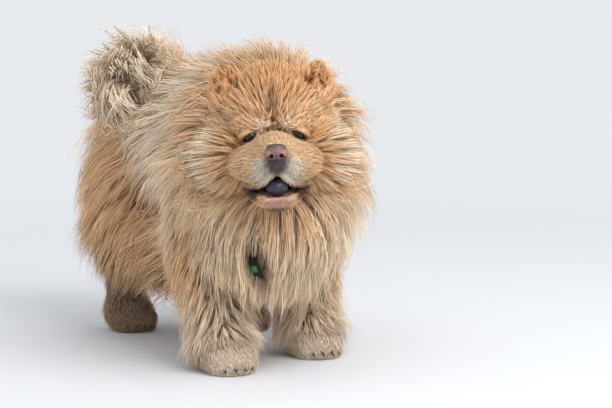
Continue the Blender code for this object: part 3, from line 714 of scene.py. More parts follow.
def head_colours(points):
    """The face: orange up the brow, a tan muzzle with pale lips, smoke under the nose, dark lids."""
    q = to_head(points)
    sided = both_sides(q)
    side, y, _ = sided.T
    colours = paint_spots(np.tile(GOLD, (len(points), 1)), q, [BROW_SPOT])
    colours = paint(colours, CREAM, smooth_step(side, 0.055, 0.080) * smooth_step(-y, -0.09, -0.02) * 0.9)
    colours = paint_spots(colours, q, FACE_SPOTS)
    # dark lid rims, which the lids really have, and painted shade down the fold from each eye's outer corner
    return paint(colours, INK, lid_line(sided))


def lid_line(sided):
    """One along the rim of the eye slit and down the fold from its outer corner."""
    across = sided - (EYE_SPACING, -0.010, 0)
    cos, sin = math.cos(LID_SLANT), math.sin(LID_SLANT)
    along = across[:, 0] * cos - across[:, 2] * sin
    above = across[:, 0] * sin + across[:, 2] * cos
    slit = np.stack([along, across[:, 1], above], axis=1)
    return spot(slit, (0.0020, 0, 0), (0.0175, 0.030, 0.0082))


def coat_colours(points, shares):
    """The coat's colour at each root."""
    x, y, z = points.T
    named = dict(zip(REGION_NAMES, shares.T))
    colours = np.tile(GOLD, (len(points), 1))
    cape = spot(points, (-0.10, -0.06, 0.36), (0.10, 0.07, 0.22))
    colours = paint(colours, CREAM, np.clip(named["neck"] * 0.70 + cape * 0.8, 0, 1))
    throat = spot(points, EYES_PLACE + (0.02, -0.02, -0.20), (0.08, 0.12, 0.07))
    colours = paint(colours, ORANGE, throat * named["neck"] * 0.6)
    colours = paint(colours, CREAM, np.clip(named["tail"] * 0.95, 0, 1))
    head = named["skull"] + named["cheek"] + named["muzzle"] + named["jaw"] + named["ear"]
    colours += (head_colours(points) - colours) * np.clip(head * 1.2, 0, 1)[:, None]
    colours = paint(colours, ORANGE, np.clip(named["ear"], 0, 1) * 0.8)
    # grey-brown low on the thighs, over the hocks and on the hind paws: partly wet fur, partly painted shade
    # under the body
    colours = paint(colours, WET_BROWN_AND_SHADE, smooth_step(-z, -0.24, -0.10) * named["thigh"] * 0.45)
    colours = paint(colours, WET_BROWN_AND_SHADE, named["hock"] * 0.95)
    colours = paint(colours, PALE, named["front_leg"] * smooth_step(-z, -0.220, -0.060) * 0.7)
    colours = paint(colours, PALE, named["paw"] * smooth_step(-y, 0.0, 0.05) * 0.7)
    colours = paint(colours, WET_BROWN_AND_SHADE, named["paw"] * smooth_step(y, 0.0, 0.05) * 0.8)
    return colours


# Skin

BODY_VOXEL = 0.0065
HEAD_VOXEL = 0.0020
SOLE_GAP = 0.0005
HEAD_REGIONS = ("skull", "cheek", "muzzle", "jaw", "ear")
CUTTER_VOXEL = 0.0012
EYE_SLIT_RADII = (0.0118, 0.0120, 0.0036)
EYE_SLIT_REACH = -0.014  # its middle from the line between the eyes, along the head's y


def eye_slits():
    """The almond gaps between the lids, as cutters."""
    return [
        head_mass(
            (side * EYE_SPACING, EYE_SLIT_REACH, 0), EYE_SLIT_RADII, NO_COAT, (0, side * LID_SLANT, 0)
        )
        for side in (-1, 1)
    ]


def make_skin():
    """One skin over the whole dog, with the slits for the eyes and the hollows of the ears."""
    body_masses = [m for name in REGION_NAMES if name not in HEAD_REGIONS for m in REGIONS[name]]
    head_masses = [m for name in HEAD_REGIONS for m in REGIONS[name]]
    skin = blended("skin", body_masses, BODY_VOXEL, 4)
    head = blended("head_skin", head_masses, HEAD_VOXEL, 3)
    cups = [m for side in (-1, 1) for m in ear_cup_masses(side)]
    combine(head, blended("cutters", eye_slits() + cups, CUTTER_VOXEL, 1), "DIFFERENCE")
    combine(skin, head, "UNION")
    skin.modifiers.new("split", "TRIANGULATE")
    apply_modifiers(skin)
    points = read(skin.data.vertices, "co", 3)
    points[:, 2] = np.maximum(points[:, 2], SOLE_GAP)  # the soles are flat on the floor
    skin.data.vertices.foreach_set("co", points.ravel())
    skin.data.update()
    return skin


# The parts of the body on the flat layout, and the part that each region belongs to
PATCH_GROUPS = ("torso", "neck", "head", "tail", "fore", "rear")
GROUP_OF_REGION = np.array([0, 1, 2, 2, 2, 2, 2, 3, 4, 5, 5, 4])
WAYS = 6  # that a face may look
TILE_ROWS = 9
TILE_MARGIN = 0.06


class SkinData:
    """The skin's points, normals and triangles, with the regions' shares and the coat's depth."""

    def __init__(self, mesh):
        self.points = read(mesh.vertices, "co", 3)
        self.normals = read(mesh.vertex_normals, "vector", 3)
        self.corners = read(mesh.loops, "vertex_index", 1, np.int32).reshape(-1, 3)
        self.face_normals = read(mesh.polygons, "normal", 3)
        self.areas = read(mesh.polygons, "area", 1)
        self.shares, self.depths = survey(self.points)


def unwrap(mesh, data):
    """A flat layout of the skin: for each part of the body, a tile for each way that its faces look."""
    triangles = data.points[data.corners]
    strongest = data.shares[data.corners].mean(axis=1).argmax(axis=1)
    left_side = triangles[:, :, 0].mean(axis=1) > 0
    group = GROUP_OF_REGION[strongest] + len(PATCH_GROUPS) * left_side
    axis = np.abs(data.face_normals).argmax(axis=1)
    look = axis * 2 + (data.face_normals[np.arange(len(axis)), axis] > 0)
    tile = group * WAYS + look
    layout = np.zeros((len(triangles), 3, 2))
    for one in np.unique(tile):
        chosen = tile == one
        flat = np.delete(triangles[chosen], (one % WAYS) // 2, axis=2)
        low, high = flat.min(axis=(0, 1)), flat.max(axis=(0, 1))
        share = TILE_MARGIN + (1 - 2 * TILE_MARGIN) * (flat - low) / max((high - low).max(), 1e-6)
        layout[chosen] = (share + (one % TILE_ROWS, one // TILE_ROWS)) / TILE_ROWS
    mesh.uv_layers.new(name=LAYOUT_NAME).data.foreach_set("uv", layout.ravel())
    return layout


skin = make_skin()
skin_surface = surface_of(skin)
SKIN = SkinData(skin.data)
LAYOUT = unwrap(skin.data, SKIN)


# Fur

DENSITY_SHARE = 0.73  # thins the whole coat evenly
FINENESS = 0.82  # and makes each strand that much narrower
PATCH = 0.003  # how wide a strand's patch is on the unwrap
ROUNDS = 3  # spans along a strand
LOFT = (0.66, 0.96, 1.06)  # how high a strand's points stand, as shares of the coat's depth
LEAST_LOFT = 0.90
LIFT = 0.12  # how much a lock keeps rising from the skin at each step
ROOT_LENGTH = 0.006
FLOOR_GAP = 0.0015  # how near the floor a hair may come
EYE_TRIM = 0.75  # how much shorter the hair is round the eyes
FRINGE_LENGTH = 0.010
SHARE_USED = 0.01  # a region with less of a root than this has no say in its lie
FLATNESS = 0.75  # how far the lie is pressed flat on the skin
LENGTH_SPREAD = 0.16
WIDTH_SPREAD = 0.25
LEAST_WIDTH, MOST_WIDTH = 0.5, 1.6
LOCK_TONE_SPREAD = 0.07
STRAND_TONE_SPREAD = 0.06
GATHER_POWER = 1.3  # strands close up mostly towards their tips
BEND = 0.042  # of a whole strand, as a share of its reach
KINK = 0.016  # at each of its points
LOCK_ROUNDING = 0.002


def sample_roots():
    """Seeded places on the skin, more of them where the fur is finer."""
    density = blend_of(SKIN.shares, "density") * bare(SKIN.points)
    expected = SKIN.areas * density[SKIN.corners].mean(axis=1) * DENSITY_SHARE
    count = int(expected.sum())
    faces = DICE.choice(len(expected), count, p=expected / expected.sum())
    mix = DICE.dirichlet((1, 1, 1), count)[:, :, None]
    corners = SKIN.corners[faces]
    roots = (SKIN.points[corners] * mix).sum(axis=1)
    normals = unit((SKIN.normals[corners] * mix).sum(axis=1))
    shares = (SKIN.shares[corners] * mix).sum(axis=1)
    depths = (SKIN.depths[corners] * mix[:, :, 0]).sum(axis=1)
    depths = (depths + muzzle_fringe(roots)) * (1 - EYE_TRIM * near_eyes(roots))
    patches = (LAYOUT[faces] * mix).sum(axis=1)
    return roots, normals, patches, shares, depths


def muzzle_fringe(points):
    """The extra length of the hair down the muzzle's sides, where it passes into the cheeks."""
    x, y, z = to_head(points).T
    down_the_side = smooth_step(np.abs(x), 0.044, 0.064) * smooth_step(-z, 0.005, 0.030)
    return FRINGE_LENGTH * down_the_side * (y < 0.05)


def near_eyes(points):
    return spot(both_sides(to_head(points)), (EYE_SPACING, -0.010, -0.003), (0.026, 0.035, 0.019))


def bare(points):
    """One where hair grows, and nothing on the nose, the lids, the lips and inside the mouth."""
    q = to_head(points)
    on_nose = spot(q, (0, -0.088, -0.020), (0.020, 0.022, 0.019))
    in_mouth = spot(q, (0, -0.040, -0.082), (0.036, 0.050, 0.014))
    return (1 - lid_line(both_sides(q))) * (1 - on_nose) * (1 - in_mouth)


def march(roots, normals, lies, depths, reaches, rises, falls, surface):
    """The spines of the locks, step by step over the skin, inside the coat's depth."""
    spines = np.empty((len(roots), ROUNDS + 1, 3))
    spines[:, 0] = roots
    for k, root in enumerate(roots):
        place = Vector(root)
        course = (Vector(normals[k]) * rises[k] + Vector(lies[k])).normalized()
        step = reaches[k] / ROUNDS
        for j in range(1, ROUNDS + 1):
            place = place + course * step
            foot, normal, _, _ = surface.find_nearest(place)
            height = (place - foot).dot(normal)
            roof = depths[k] * LOFT[j - 1]
            wanted = min(max(height, roof * LEAST_LOFT), roof)
            place = place + normal * (wanted - height)
            spines[k, j] = place
            flat = course - normal * course.dot(normal)
            course = (flat.normalized() + normal * LIFT + Vector((0, 0, -falls[k]))).normalized()
    return spines


def tree_of(points):
    tree = kdtree.KDTree(len(points))
    for k, point in enumerate(points):
        tree.insert(point, k)
    tree.balance()
    return tree


def nearest_of(tree, points):
    return np.array([tree.find(point)[1] for point in points])


def lies_at(points, normals, shares):
    """The way the fur lies at each root, blended over the regions and flat on the skin."""
    lie = np.zeros((len(points), 3))
    for k, name in enumerate(REGION_NAMES):
        used = shares[:, k] > SHARE_USED
        if used.any():
            lie[used] += GROWTH[name].lie(points[used]) * shares[used, k : k + 1]
    lie -= normals * (lie * normals).sum(axis=1, keepdims=True) * FLATNESS
    return unit(lie)


# The strap's ends and its way into the chest, as in the solids
STRAP_TOP = Vector((-0.119, STANDING_EYES.y, 0.206)) + SHIFT
STRAP_END = Vector((-0.101, STANDING_EYES.y, 0.160)) + SHIFT
STRAP_INWARDS = np.array(Vector((0.42, 0.90, -0.10)).normalized())
STRAP_CLEARANCE = 0.007
STRAP_PRESS = 0.12
STRAP_FURROW = 0.019  # half the width of the parting that shows the strap


def behind_strap(paths):
    """Presses the hair that would cross the strap down behind it."""
    low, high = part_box("strap")
    middle = np.array((low + high) / 2)
    top, end = np.array(STRAP_TOP), np.array(STRAP_END)
    length = np.linalg.norm(end - top)
    run = (end - top) / length
    away = paths - middle
    depth = away @ STRAP_INWARDS
    flat = away - depth[..., None] * STRAP_INWARDS
    along = flat @ run
    past = np.maximum(np.abs(along) - length / 2, 0)
    across = np.linalg.norm(flat - along[..., None] * run, axis=2)
    near = 1 - smooth_step(np.hypot(across, past), STRAP_FURROW * 0.6, STRAP_FURROW * 1.4)
    press = np.clip(STRAP_CLEARANCE - depth, 0, STRAP_PRESS) * (depth > -STRAP_PRESS) * near
    return paths + press[..., None] * STRAP_INWARDS


BOX_SPARE = np.array((0.014, 0.022, 0.014))  # how far the hair may pass the solids' box
BOX_EASE = 0.025


def inside_box(paths):
    """Eases the longest hairs back inside the solids' box, with a little to spare."""
    low = np.array(CAD_LOW) - BOX_SPARE + BOX_EASE
    high = np.array(CAD_HIGH) + BOX_SPARE - BOX_EASE
    over = np.maximum(paths - high, 0)
    under = np.maximum(low - paths, 0)
    under[..., 2] = 0
    eased_over = np.tanh(over / BOX_EASE) * BOX_EASE
    eased_under = np.tanh(under / BOX_EASE) * BOX_EASE
    return paths - over + eased_over + under - eased_under


CELL_PRIMES = (73856093, 19349663, 83492791)  # they give each cell a number of its own


def pick_guides(points, spacing):
    """Seeded picks among the roots, about so far apart: thinned by cells of that size."""
    cells = np.floor(points / spacing[:, None] + DICE.random(3)).astype(np.int64)
    across, back, up = (cells * CELL_PRIMES).T
    keys = across ^ back ^ up
    _, picks = np.unique(keys, return_index=True)
    return picks


def grow():
    """Roots, spines, widths and colours of the whole coat."""
    roots, normals, patches, shares, depths = sample_roots()
    lies = lies_at(roots, normals, shares)
    reaches = depths * blend_of(shares, "reach") + ROOT_LENGTH * np.clip(depths / 0.02, 0, 1)
    spacing = blend_of(shares, "lock")
    guides = pick_guides(roots, np.round(spacing / LOCK_ROUNDING) * LOCK_ROUNDING)
    spines = march(
        roots[guides], normals[guides], lies[guides], depths[guides], reaches[guides],
        blend_of(shares, "rise")[guides], blend_of(shares, "fall")[guides], skin_surface,
    )
    owner = nearest_of(tree_of(roots[guides]), roots)
    offset = roots - roots[guides][owner]
    along = np.linspace(0, 1, ROUNDS + 1)
    length = (1 + LENGTH_SPREAD * DICE.standard_normal(len(roots)))[:, None, None]
    base = (spines[owner] - roots[guides][owner][:, None]) * length
    gather = blend_of(shares, "gather")[:, None] * along**GATHER_POWER
    paths = roots[:, None] + base - offset[:, None] * gather[:, :, None]
    bend = DICE.standard_normal((len(roots), 1, 3)) * BEND
    kinks = DICE.standard_normal((len(roots), ROUNDS + 1, 3)) * KINK
    paths += (bend + kinks) * reaches[:, None, None] * along[None, :, None]
    paths = inside_box(behind_strap(paths))
    paths[:, :, 2] = np.maximum(paths[:, :, 2], FLOOR_GAP)
    width_shares = (1 + WIDTH_SPREAD * DICE.standard_normal(len(roots))).clip(LEAST_WIDTH, MOST_WIDTH)
    widths = blend_of(shares, "width") * FINENESS * width_shares
    colours = coat_colours(roots, shares)
    lock_tone = (1 + LOCK_TONE_SPREAD * DICE.standard_normal(len(guides)))[owner]
    own_tone = 1 + STRAND_TONE_SPREAD * DICE.standard_normal(len(roots))
    colours = colours * (lock_tone * own_tone)[:, None]
    return roots, normals, patches, shares, paths, widths, colours


TAPERS = {3: (0.75, 1.0, 0.72, 0.0), 2: (0.9, 0.9, 0.0)}  # the width along a strand, by its spans
STRAND_HEIGHT = 0.7  # of its third side, as a share of half its width
# the strands are darker at the root and paler at the tip: painted shade deep in the coat and painted light on
# the tips
ROOT_SHADE = 0.82
TIP_LIGHT = 1.16
TONE_POWER = 0.8
MOST_STRANDS = 12000  # a coat piece stays under 200,000 triangles
SHORT_REGIONS = ("muzzle", "jaw", "ear", "paw", "hock")  # their strands have two spans
SIDES = ((-1, "right"), (1, "left"))


def strand_mesh(name, paths, normals, widths, colours, patches):
    """Closed tapered strands of three sides, as one mesh with its patches and colours."""
    count, rings = paths.shape[0], paths.shape[1] - 1
    per = rings * 3 + 1
    tangents = np.gradient(paths, axis=1)
    out = normals[:, None, :] - tangents * (
        (normals[:, None, :] * tangents).sum(axis=2) / np.maximum((tangents**2).sum(axis=2), 1e-12)
    )[:, :, None]
    out = unit(out)
    side = unit(np.cross(tangents, out))
    half = (widths[:, None] * np.array(TAPERS[rings])[None] * 0.5)[:, :rings, None]
    ring = np.stack(
        [
            paths[:, :rings] - side[:, :rings] * half,
            paths[:, :rings] + side[:, :rings] * half,
            paths[:, :rings] + out[:, :rings] * half * STRAND_HEIGHT,
        ],
        axis=2,
    )
    points = np.concatenate([ring.reshape(count, rings * 3, 3), paths[:, -1:, :]], axis=1)
    faces = [(0, 2, 1)]
    for level in range(rings - 1):
        for k in range(3):
            a, b = level * 3 + k, level * 3 + (k + 1) % 3
            faces += [(a, b, b + 3), (a, b + 3, a + 3)]
    top = (rings - 1) * 3
    faces += [(top + k, top + (k + 1) % 3, rings * 3) for k in range(3)]
    # the corners run so that faces look out
    faces = np.array([(a, c, b) for a, b, c in faces])
    corners = (faces.ravel()[None] + np.arange(count)[:, None] * per).ravel()
    mesh = mesh_of(name, points.reshape(-1, 3), corners, np.full(count * len(faces), 3))
    level = np.append(np.repeat(np.arange(rings), 3), rings) / rings
    across = np.append(np.tile([0.0, 1.0, 0.5], rings), 0.5)
    spread = (np.stack([across, level], axis=1) - 0.5) * PATCH
    uv = (patches[:, None] + spread[None]).reshape(-1, 2)
    mesh.uv_layers.new(name=LAYOUT_NAME).data.foreach_set("uv", uv[corners].ravel())
    # painted shade towards the root, painted light towards the tip
    tone = ROOT_SHADE + (TIP_LIGHT - ROOT_SHADE) * level**TONE_POWER
    shade(mesh, (colours[:, None] * tone[None, :, None]).reshape(-1, 3))
    return mesh


def make_coat():
    """The coat's pieces: each region's strands on each side of the dog, in parts."""
    roots, normals, patches, shares, paths, widths, colours = grow()
    strongest = shares.argmax(axis=1)
    pieces = []
    for k, name in enumerate(REGION_NAMES):
        middle = EYES.x if name in HEAD_REGIONS else 0.0
        for side, word in SIDES:
            chosen = np.flatnonzero((strongest == k) & ((roots[:, 0] - middle) * side > 0))
            for part, start in enumerate(range(0, len(chosen), MOST_STRANDS)):
                picks = chosen[start : start + MOST_STRANDS]
                piece_name = f"coat_{name}_{word}_{part + 1}"
                spines = paths[picks][:, [0, 1, 3]] if name in SHORT_REGIONS else paths[picks]
                looks = widths[picks], colours[picks], patches[picks]
                pieces.append(new_object(piece_name, strand_mesh(piece_name, spines, normals[picks], *looks)))
    return pieces


# Materials

def set_inputs(node, values):
    for name, value in values.items():
        node.inputs[name].default_value = value


def new_material(name, inputs):
    """A material with its shader's inputs set, and its nodes and links."""
    material = bpy.data.materials.new(name)
    material.use_nodes = True
    set_inputs(material.node_tree.nodes["Principled BSDF"], inputs)
    return material, material.node_tree.nodes, material.node_tree.links


def add_node(nodes, kind, inputs=None):
    node = nodes.new("ShaderNode" + kind)
    set_inputs(node, inputs or {})
    return node


def join(links, *pairs):
    """Links a node's output to a node's input, pair by pair."""
    for source, output, target, place in pairs:
        links.new(source.outputs[output], target.inputs[place])


def tinted_material(name, inputs, noise_inputs, tones):
    """A material that takes its colour from its points, mottled between two tones."""
    material, nodes, links = new_material(name, inputs)
    colour = add_node(nodes, "Attribute")
    colour.attribute_name = COLOURS
    place = add_node(nodes, "TexCoord")
    noise = add_node(nodes, "TexNoise", noise_inputs)
    mottle = add_node(nodes, "MapRange", {"To Min": tones[0], "To Max": tones[1]})
    tint = add_node(nodes, "VectorMath")
    tint.operation = "SCALE"
    join(
        links,
        (place, "Object", noise, "Vector"),
        (noise, "Fac", mottle, "Value"),
        (colour, "Color", tint, 0),
        (mottle, "Result", tint, "Scale"),
        (tint, "Vector", nodes["Principled BSDF"], "Base Color"),
    )
    return material, nodes, links, place


def fur_material(name, roughness=0.62):
    """Hair, mottled a little."""
    inputs = {"Roughness": roughness, "Specular IOR Level": 0.25}
    return tinted_material(name, inputs, {"Scale": 60.0, "Detail": 4.0}, (0.86, 1.12))[0]


def moist_material(name, roughness, pebbles, relief, gloss):
    """Skin with fine pebbles, so many to the metre, and a wet gloss."""
    inputs = {"Roughness": roughness, "Coat Weight": gloss, "Coat Roughness": 0.18}
    noise_inputs = {"Scale": pebbles * 0.3}
    material, nodes, links, place = tinted_material(name, inputs, noise_inputs, (0.75, 1.2))
    cells = add_node(nodes, "TexVoronoi", {"Scale": pebbles})
    bump = add_node(nodes, "Bump", {"Strength": relief, "Distance": 0.0006})
    join(
        links,
        (place, "Object", cells, "Vector"),
        (cells, "Distance", bump, "Height"),
        (bump, "Normal", nodes["Principled BSDF"], "Normal"),
    )
    return material


# Dressing

def paint_skin():
    # the skin takes the coat's colours darkened as at the strands' roots: painted shade under the fur
    shade(skin.data, coat_colours(SKIN.points, SKIN.shares) * ROOT_SHADE)
    clear_materials(skin.data)


coat = make_coat()
paint_skin()
coat_material = fur_material("coat_hair")
skin.data.materials.append(fur_material("skin_hair", 0.8))
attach(skin, "root")
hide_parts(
    "torso", "neck", "head", "lower_jaw", "ear_left", "ear_right", "front_leg_left",
    "front_leg_right", "hind_thigh_left", "hind_thigh_right", "hind_hock_left", "hind_hock_right",
    "front_paw_left", "front_paw_right", "hind_paw_left", "hind_paw_right", "tail",
)
for piece in coat:
    piece.data.materials.append(coat_material)
    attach(piece, "root")


# Nose, eyes, mouth, claws and whiskers

def colour_by_place(obj, painter):
    """Colours a piece by a function of its points on the head."""
    shade(obj.data, painter(to_head(read(obj.data.vertices, "co", 3))))


NOSE_BROWN = np.array(linear(122, 84, 78))
NOSE_PINK = np.array(linear(170, 108, 100))
NOSE_WING = (NOSE_PINK, True, (0.0125, -0.098, -0.019), (0.006, 0.012, 0.006), 0.8)
# painted shade: near-black inside the nostrils
NOSTRIL = (INK * 0.3, True, (0.0080, -0.0975, -0.0225), (0.0044, 0.0070, 0.0044), 1.0)


def nose_colours(q):
    """Pink-brown in front with brighter wings, and dark round the rim, in the nostrils and between them."""
    side, y, z = both_sides(q).T
    colours = paint_spots(np.tile(NOSE_BROWN, (len(q), 1)), q, [NOSE_WING])
    colours = paint(colours, SMOKE * 0.6, smooth_step(z, -0.0125, -0.007))
    colours = paint(colours, SMOKE * 0.5, smooth_step(y, -0.092, -0.086))
    colours = paint_spots(colours, q, [NOSTRIL])
    # painted shade in the groove down the middle of the nose, between the nostrils
    groove = (1 - smooth_step(side, 0.0005, 0.0018)) * smooth_step(-z, 0.017, 0.024)
    return paint(colours, INK, groove)


def make_nose():
    masses = [
        head_mass((0, -0.088, -0.0190), (0.0172, 0.0125, 0.0105), NO_COAT),
        head_mass((0, -0.082, -0.0115), (0.0165, 0.0140, 0.0085), NO_COAT),
    ]
    cuts = []
    for side in (-1, 1):
        masses.append(head_mass((side * 0.0108, -0.0885, -0.0205), (0.0082, 0.0105, 0.0078), NO_COAT))
        cuts.append(head_mass((side * 0.0078, -0.1010, -0.0225), (0.0031, 0.0080, 0.0031), NO_COAT))
        cuts.append(head_mass((side * 0.0128, -0.0985, -0.0250), (0.0042, 0.0065, 0.0013), NO_COAT))
    nose = blended("nose_leather", masses, 0.0008, 2)
    combine(nose, blended("nostril_cut", cuts, 0.0006, 1), "DIFFERENCE")
    clear_materials(nose.data)
    colour_by_place(nose, nose_colours)
    nose.data.materials.append(moist_material("nose_leather", 0.42, 1100, 0.55, 0.25))
    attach(nose, "root")
    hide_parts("nose")


TONGUE_BLUE = np.array(linear(38, 38, 50))
TONGUE_EDGE = np.array(linear(92, 76, 94))


def tongue_colours(q):
    """Blue-black, and a little paler at the edge in front."""
    x, y, _ = q.T
    edge = smooth_step(np.hypot(x / 0.0205, (y + 0.046) / 0.028), 0.88, 1.0) * (y < -0.035)
    return paint(np.tile(TONGUE_BLUE, (len(q), 1)), TONGUE_EDGE, edge * 0.7)


def make_tongue():
    lean = (math.radians(-10), 0, 0)
    masses = [
        head_mass((0, -0.046, -0.079), (0.0175, 0.025, 0.0145), NO_COAT, lean),
        head_mass((0, -0.020, -0.072), (0.0220, 0.034, 0.0120), NO_COAT),
    ]
    tongue = blended("tongue_flesh", masses, 0.0012, 3)
    colour_by_place(tongue, tongue_colours)
    tongue.data.materials.append(moist_material("tongue_skin", 0.45, 1500, 0.35, 0.2))
    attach(tongue, "root")
    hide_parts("tongue")


EYE_BROWN = np.array(linear(52, 30, 20))


def eye_colours(q):
    """A dark brown iris round a black pupil."""
    away = np.hypot(np.abs(q[:, 0]) - EYE_SPACING, q[:, 2])
    return paint(np.tile(EYE_BROWN, (len(q), 1)), INK * 0.1, 1 - smooth_step(away, 0.0035, 0.0045))


def make_eyes():
    for side, word in SIDES:
        place = (side * EYE_SPACING, EYE_SET_BACK, 0)
        eye = blended(f"eyeball_{word}", [head_mass(place, (EYE_RADIUS,) * 3, NO_COAT)], 0.0007, 1)
        colour_by_place(eye, eye_colours)
        eye.data.materials.append(moist_material(f"eyeball_{word}", 0.2, 2500, 0.04, 0.4))
        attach(eye, "root")
        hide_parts(f"eye_{word}")


CLAW_ROOT = Vector((0, -0.021, -0.004))  # from the toe's middle
CLAW_RUN = Vector((0, -0.013, -0.007))
CLAW_RADII = (0.0042, 0.0016)
HORN = np.array(linear(86, 74, 66))


def make_claws():
    for leg in LEGS:
        masses = []
        for toe in toe_centres(leg):
            root = toe + CLAW_ROOT
            masses += chain(root, root + CLAW_RUN, CLAW_RADII, (NO_COAT,) * 2, 8)
        claws = blended(f"claws_{leg}", masses, 0.0011, 1)
        colour_by_place(claws, lambda q: np.tile(HORN, (len(q), 1)))
        claws.data.materials.append(moist_material(f"claw_horn_{leg}", 0.35, 900, 0.15, 0.1))
        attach(claws, "root")


WHISKERS_A_SIDE = 11
WHISKERS_A_ROW = 4
WHISKER_WIDTH = 0.0007
WHISKER_LENGTH = 0.030
WHISKER_SPREAD = 0.012  # how much longer the longest is
WHISKER_SAG = np.array((0, 0, -0.35))


def make_whiskers(material):
    """Rows of whiskers from the sides of the muzzle, outward and down."""
    roots, ways = [], []
    for side in (-1, 1):
        for k in range(WHISKERS_A_SIDE):
            row, place = divmod(k, WHISKERS_A_ROW)
            roots.append((side * (0.020 + 0.007 * place), -0.072 + 0.006 * place, -0.036 - 0.010 * row))
            ways.append((side * (0.8 + 0.1 * row), -0.15 + 0.12 * place, -0.25 - 0.22 * row))
    ways = from_head(unit(np.array(ways) + DICE.standard_normal((len(ways), 3)) * 0.08))
    feet = np.array([skin_surface.find_nearest(on_head(*root))[0] for root in roots])
    lengths = WHISKER_LENGTH + WHISKER_SPREAD * DICE.random(len(ways))
    along = np.linspace(0, 1, ROUNDS + 1)[None, :, None]
    paths = feet[:, None] + lengths[:, None, None] * (ways[:, None] * along + WHISKER_SAG * along**2)
    widths = np.full(len(paths), WHISKER_WIDTH)
    colours = np.tile(INK * 2.5, (len(paths), 1))
    patches = np.full((len(paths), 2), 0.5)
    piece = new_object("whiskers", strand_mesh("whiskers", paths, ways, widths, colours, patches))
    piece.data.materials.append(material)
    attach(piece, "root")


def woven_material(name, colour, light, threads):
    """Crossed threads, so many to the metre, raised and a little worn."""
    material, nodes, links = new_material(name, {"Roughness": 0.7})
    place = add_node(nodes, "TexCoord")
    weave = add_node(nodes, "TexChecker", {"Scale": threads, "Color1": (*colour, 1), "Color2": (*light, 1)})
    noise = add_node(nodes, "TexNoise", {"Scale": threads * 0.4})
    worn = add_node(nodes, "Mix")
    worn.data_type = "RGBA"
    set_inputs(worn, {"B": (*(0.5 * (a + b) + 0.02 for a, b in zip(colour, light)), 1)})
    bump = add_node(nodes, "Bump", {"Strength": 0.6, "Distance": 0.0004})
    join(
        links,
        (place, "Object", weave, "Vector"),
        (place, "Object", noise, "Vector"),
        (noise, "Fac", worn, "Factor"),
        (weave, "Color", worn, "A"),
        (worn, "Result", nodes["Principled BSDF"], "Base Color"),
        (weave, "Fac", bump, "Height"),
        (bump, "Normal", nodes["Principled BSDF"], "Normal"),
    )
    return material


def finish_node(node, material):
    """Gives a carried solid its finish."""
    mesh = bpy.data.objects[node].data
    mesh.materials.clear()
    mesh.materials.append(material)


make_nose()
make_tongue()
make_eyes()
make_claws()
make_whiskers(coat_material)
finish_node("strap", woven_material("strap_weave", linear(26, 27, 30), linear(58, 60, 64), 900))
finish_node("strap_tag", woven_material("tag_green", linear(40, 118, 52), linear(112, 176, 88), 500))


# Stage

PHOTO_WIDTH = 612
PHOTO_HEIGHT = 408
EYES_PIXEL = (274, 135)  # the middle of the line between the eyes in the photo
PIXEL_SIZE = 0.0016  # at the distance of the eyes
CAMERA_AZIMUTH = math.radians(-25)
CAMERA_ELEVATION = math.radians(6)
CAMERA_DISTANCE = 3.2
SENSOR = 36.0
FAR_END = 30


def set_camera():
    """The photo's view: a long lens, with the eyes on their place in the picture."""
    sin_a, cos_a = math.sin(CAMERA_AZIMUTH), math.cos(CAMERA_AZIMUTH)
    sin_e, cos_e = math.sin(CAMERA_ELEVATION), math.cos(CAMERA_ELEVATION)
    back = Vector((sin_a * cos_e, -cos_a * cos_e, sin_e))
    right = Vector((cos_a, sin_a, 0))
    up = back.cross(right)
    across = (EYES_PIXEL[0] - PHOTO_WIDTH / 2) * PIXEL_SIZE
    above = (PHOTO_HEIGHT / 2 - EYES_PIXEL[1]) * PIXEL_SIZE
    data = bpy.data.cameras.new("camera")
    data.sensor_width = SENSOR
    data.lens = SENSOR * CAMERA_DISTANCE / (PHOTO_WIDTH * PIXEL_SIZE)
    data.clip_end = FAR_END
    camera = new_object("camera", data)
    place = EYES - right * across - up * above + back * CAMERA_DISTANCE
    turn = Matrix((right, up, back)).transposed().to_4x4()
    camera.matrix_world = Matrix.Translation(place) @ turn
    bpy.context.scene.camera = camera


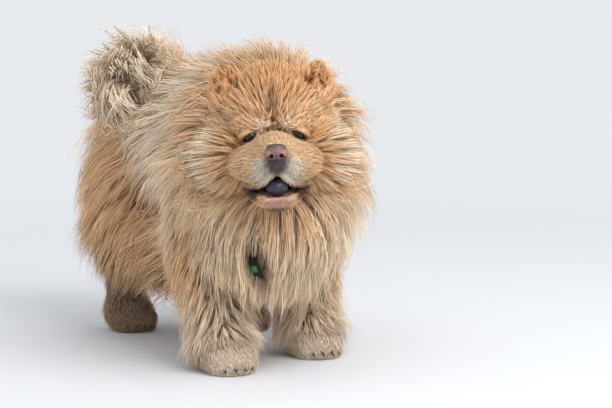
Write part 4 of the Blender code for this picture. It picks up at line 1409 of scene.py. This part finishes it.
FLOOR_RADIUS = 12.0
FLOOR_SIDES = 96
FLOOR_COLOUR = (0.76, 0.77, 0.79)
FLOOR_FADE = {"From Min": 0.8, "From Max": 3.2}  # how far out the floor begins and ends to fade
WORLD_COLOUR = (0.80, 0.83, 0.86)
LAMP_ENERGY = 100
LAMP_SIZE = 2.5
LAMP_PLACE = Vector((0.6, -2.6, 2.8))
LAMP_AIM = Vector((0, 0, 0.3))


def floor_material():
    """Pale matt ground near the dog, passing into the light of the room further out."""
    inputs = {"Base Color": (*FLOOR_COLOUR, 1), "Roughness": 0.85}
    material, nodes, links = new_material("pale_floor", inputs)
    glow = add_node(nodes, "Emission", {"Color": (*WORLD_COLOUR, 1)})
    place = add_node(nodes, "TexCoord")
    reach = add_node(nodes, "VectorMath")
    reach.operation = "LENGTH"
    fade = add_node(nodes, "MapRange", FLOOR_FADE)
    fade.interpolation_type = "SMOOTHSTEP"
    mix = add_node(nodes, "MixShader")
    join(
        links,
        (place, "Object", reach, 0),
        (reach, "Value", fade, "Value"),
        (fade, "Result", mix, "Fac"),
        (nodes["Principled BSDF"], "BSDF", mix, 1),
        (glow, "Emission", mix, 2),
        (mix, "Shader", nodes["Material Output"], "Surface"),
    )
    return material


def set_stage():
    """The floor, the light of the room and one lamp in front."""
    bm = bmesh.new()
    bmesh.ops.create_circle(bm, cap_ends=True, segments=FLOOR_SIDES, radius=FLOOR_RADIUS)
    floor = new_object("floor", mesh_from(bm, "floor"))
    floor.data.materials.append(floor_material())
    world = bpy.data.worlds.new("room")
    world.use_nodes = True
    set_inputs(world.node_tree.nodes["Background"], {"Color": (*WORLD_COLOUR, 1), "Strength": 1.0})
    bpy.context.scene.world = world
    lamp = bpy.data.lights.new("key", "AREA")
    lamp.energy = LAMP_ENERGY
    lamp.size = LAMP_SIZE
    key = new_object("key", lamp)
    key.location = LAMP_PLACE
    key.rotation_euler = (LAMP_AIM - LAMP_PLACE).to_track_quat("-Z", "Y").to_euler()
    bpy.context.scene.view_settings.view_transform = "Standard"


set_camera()
set_stage()
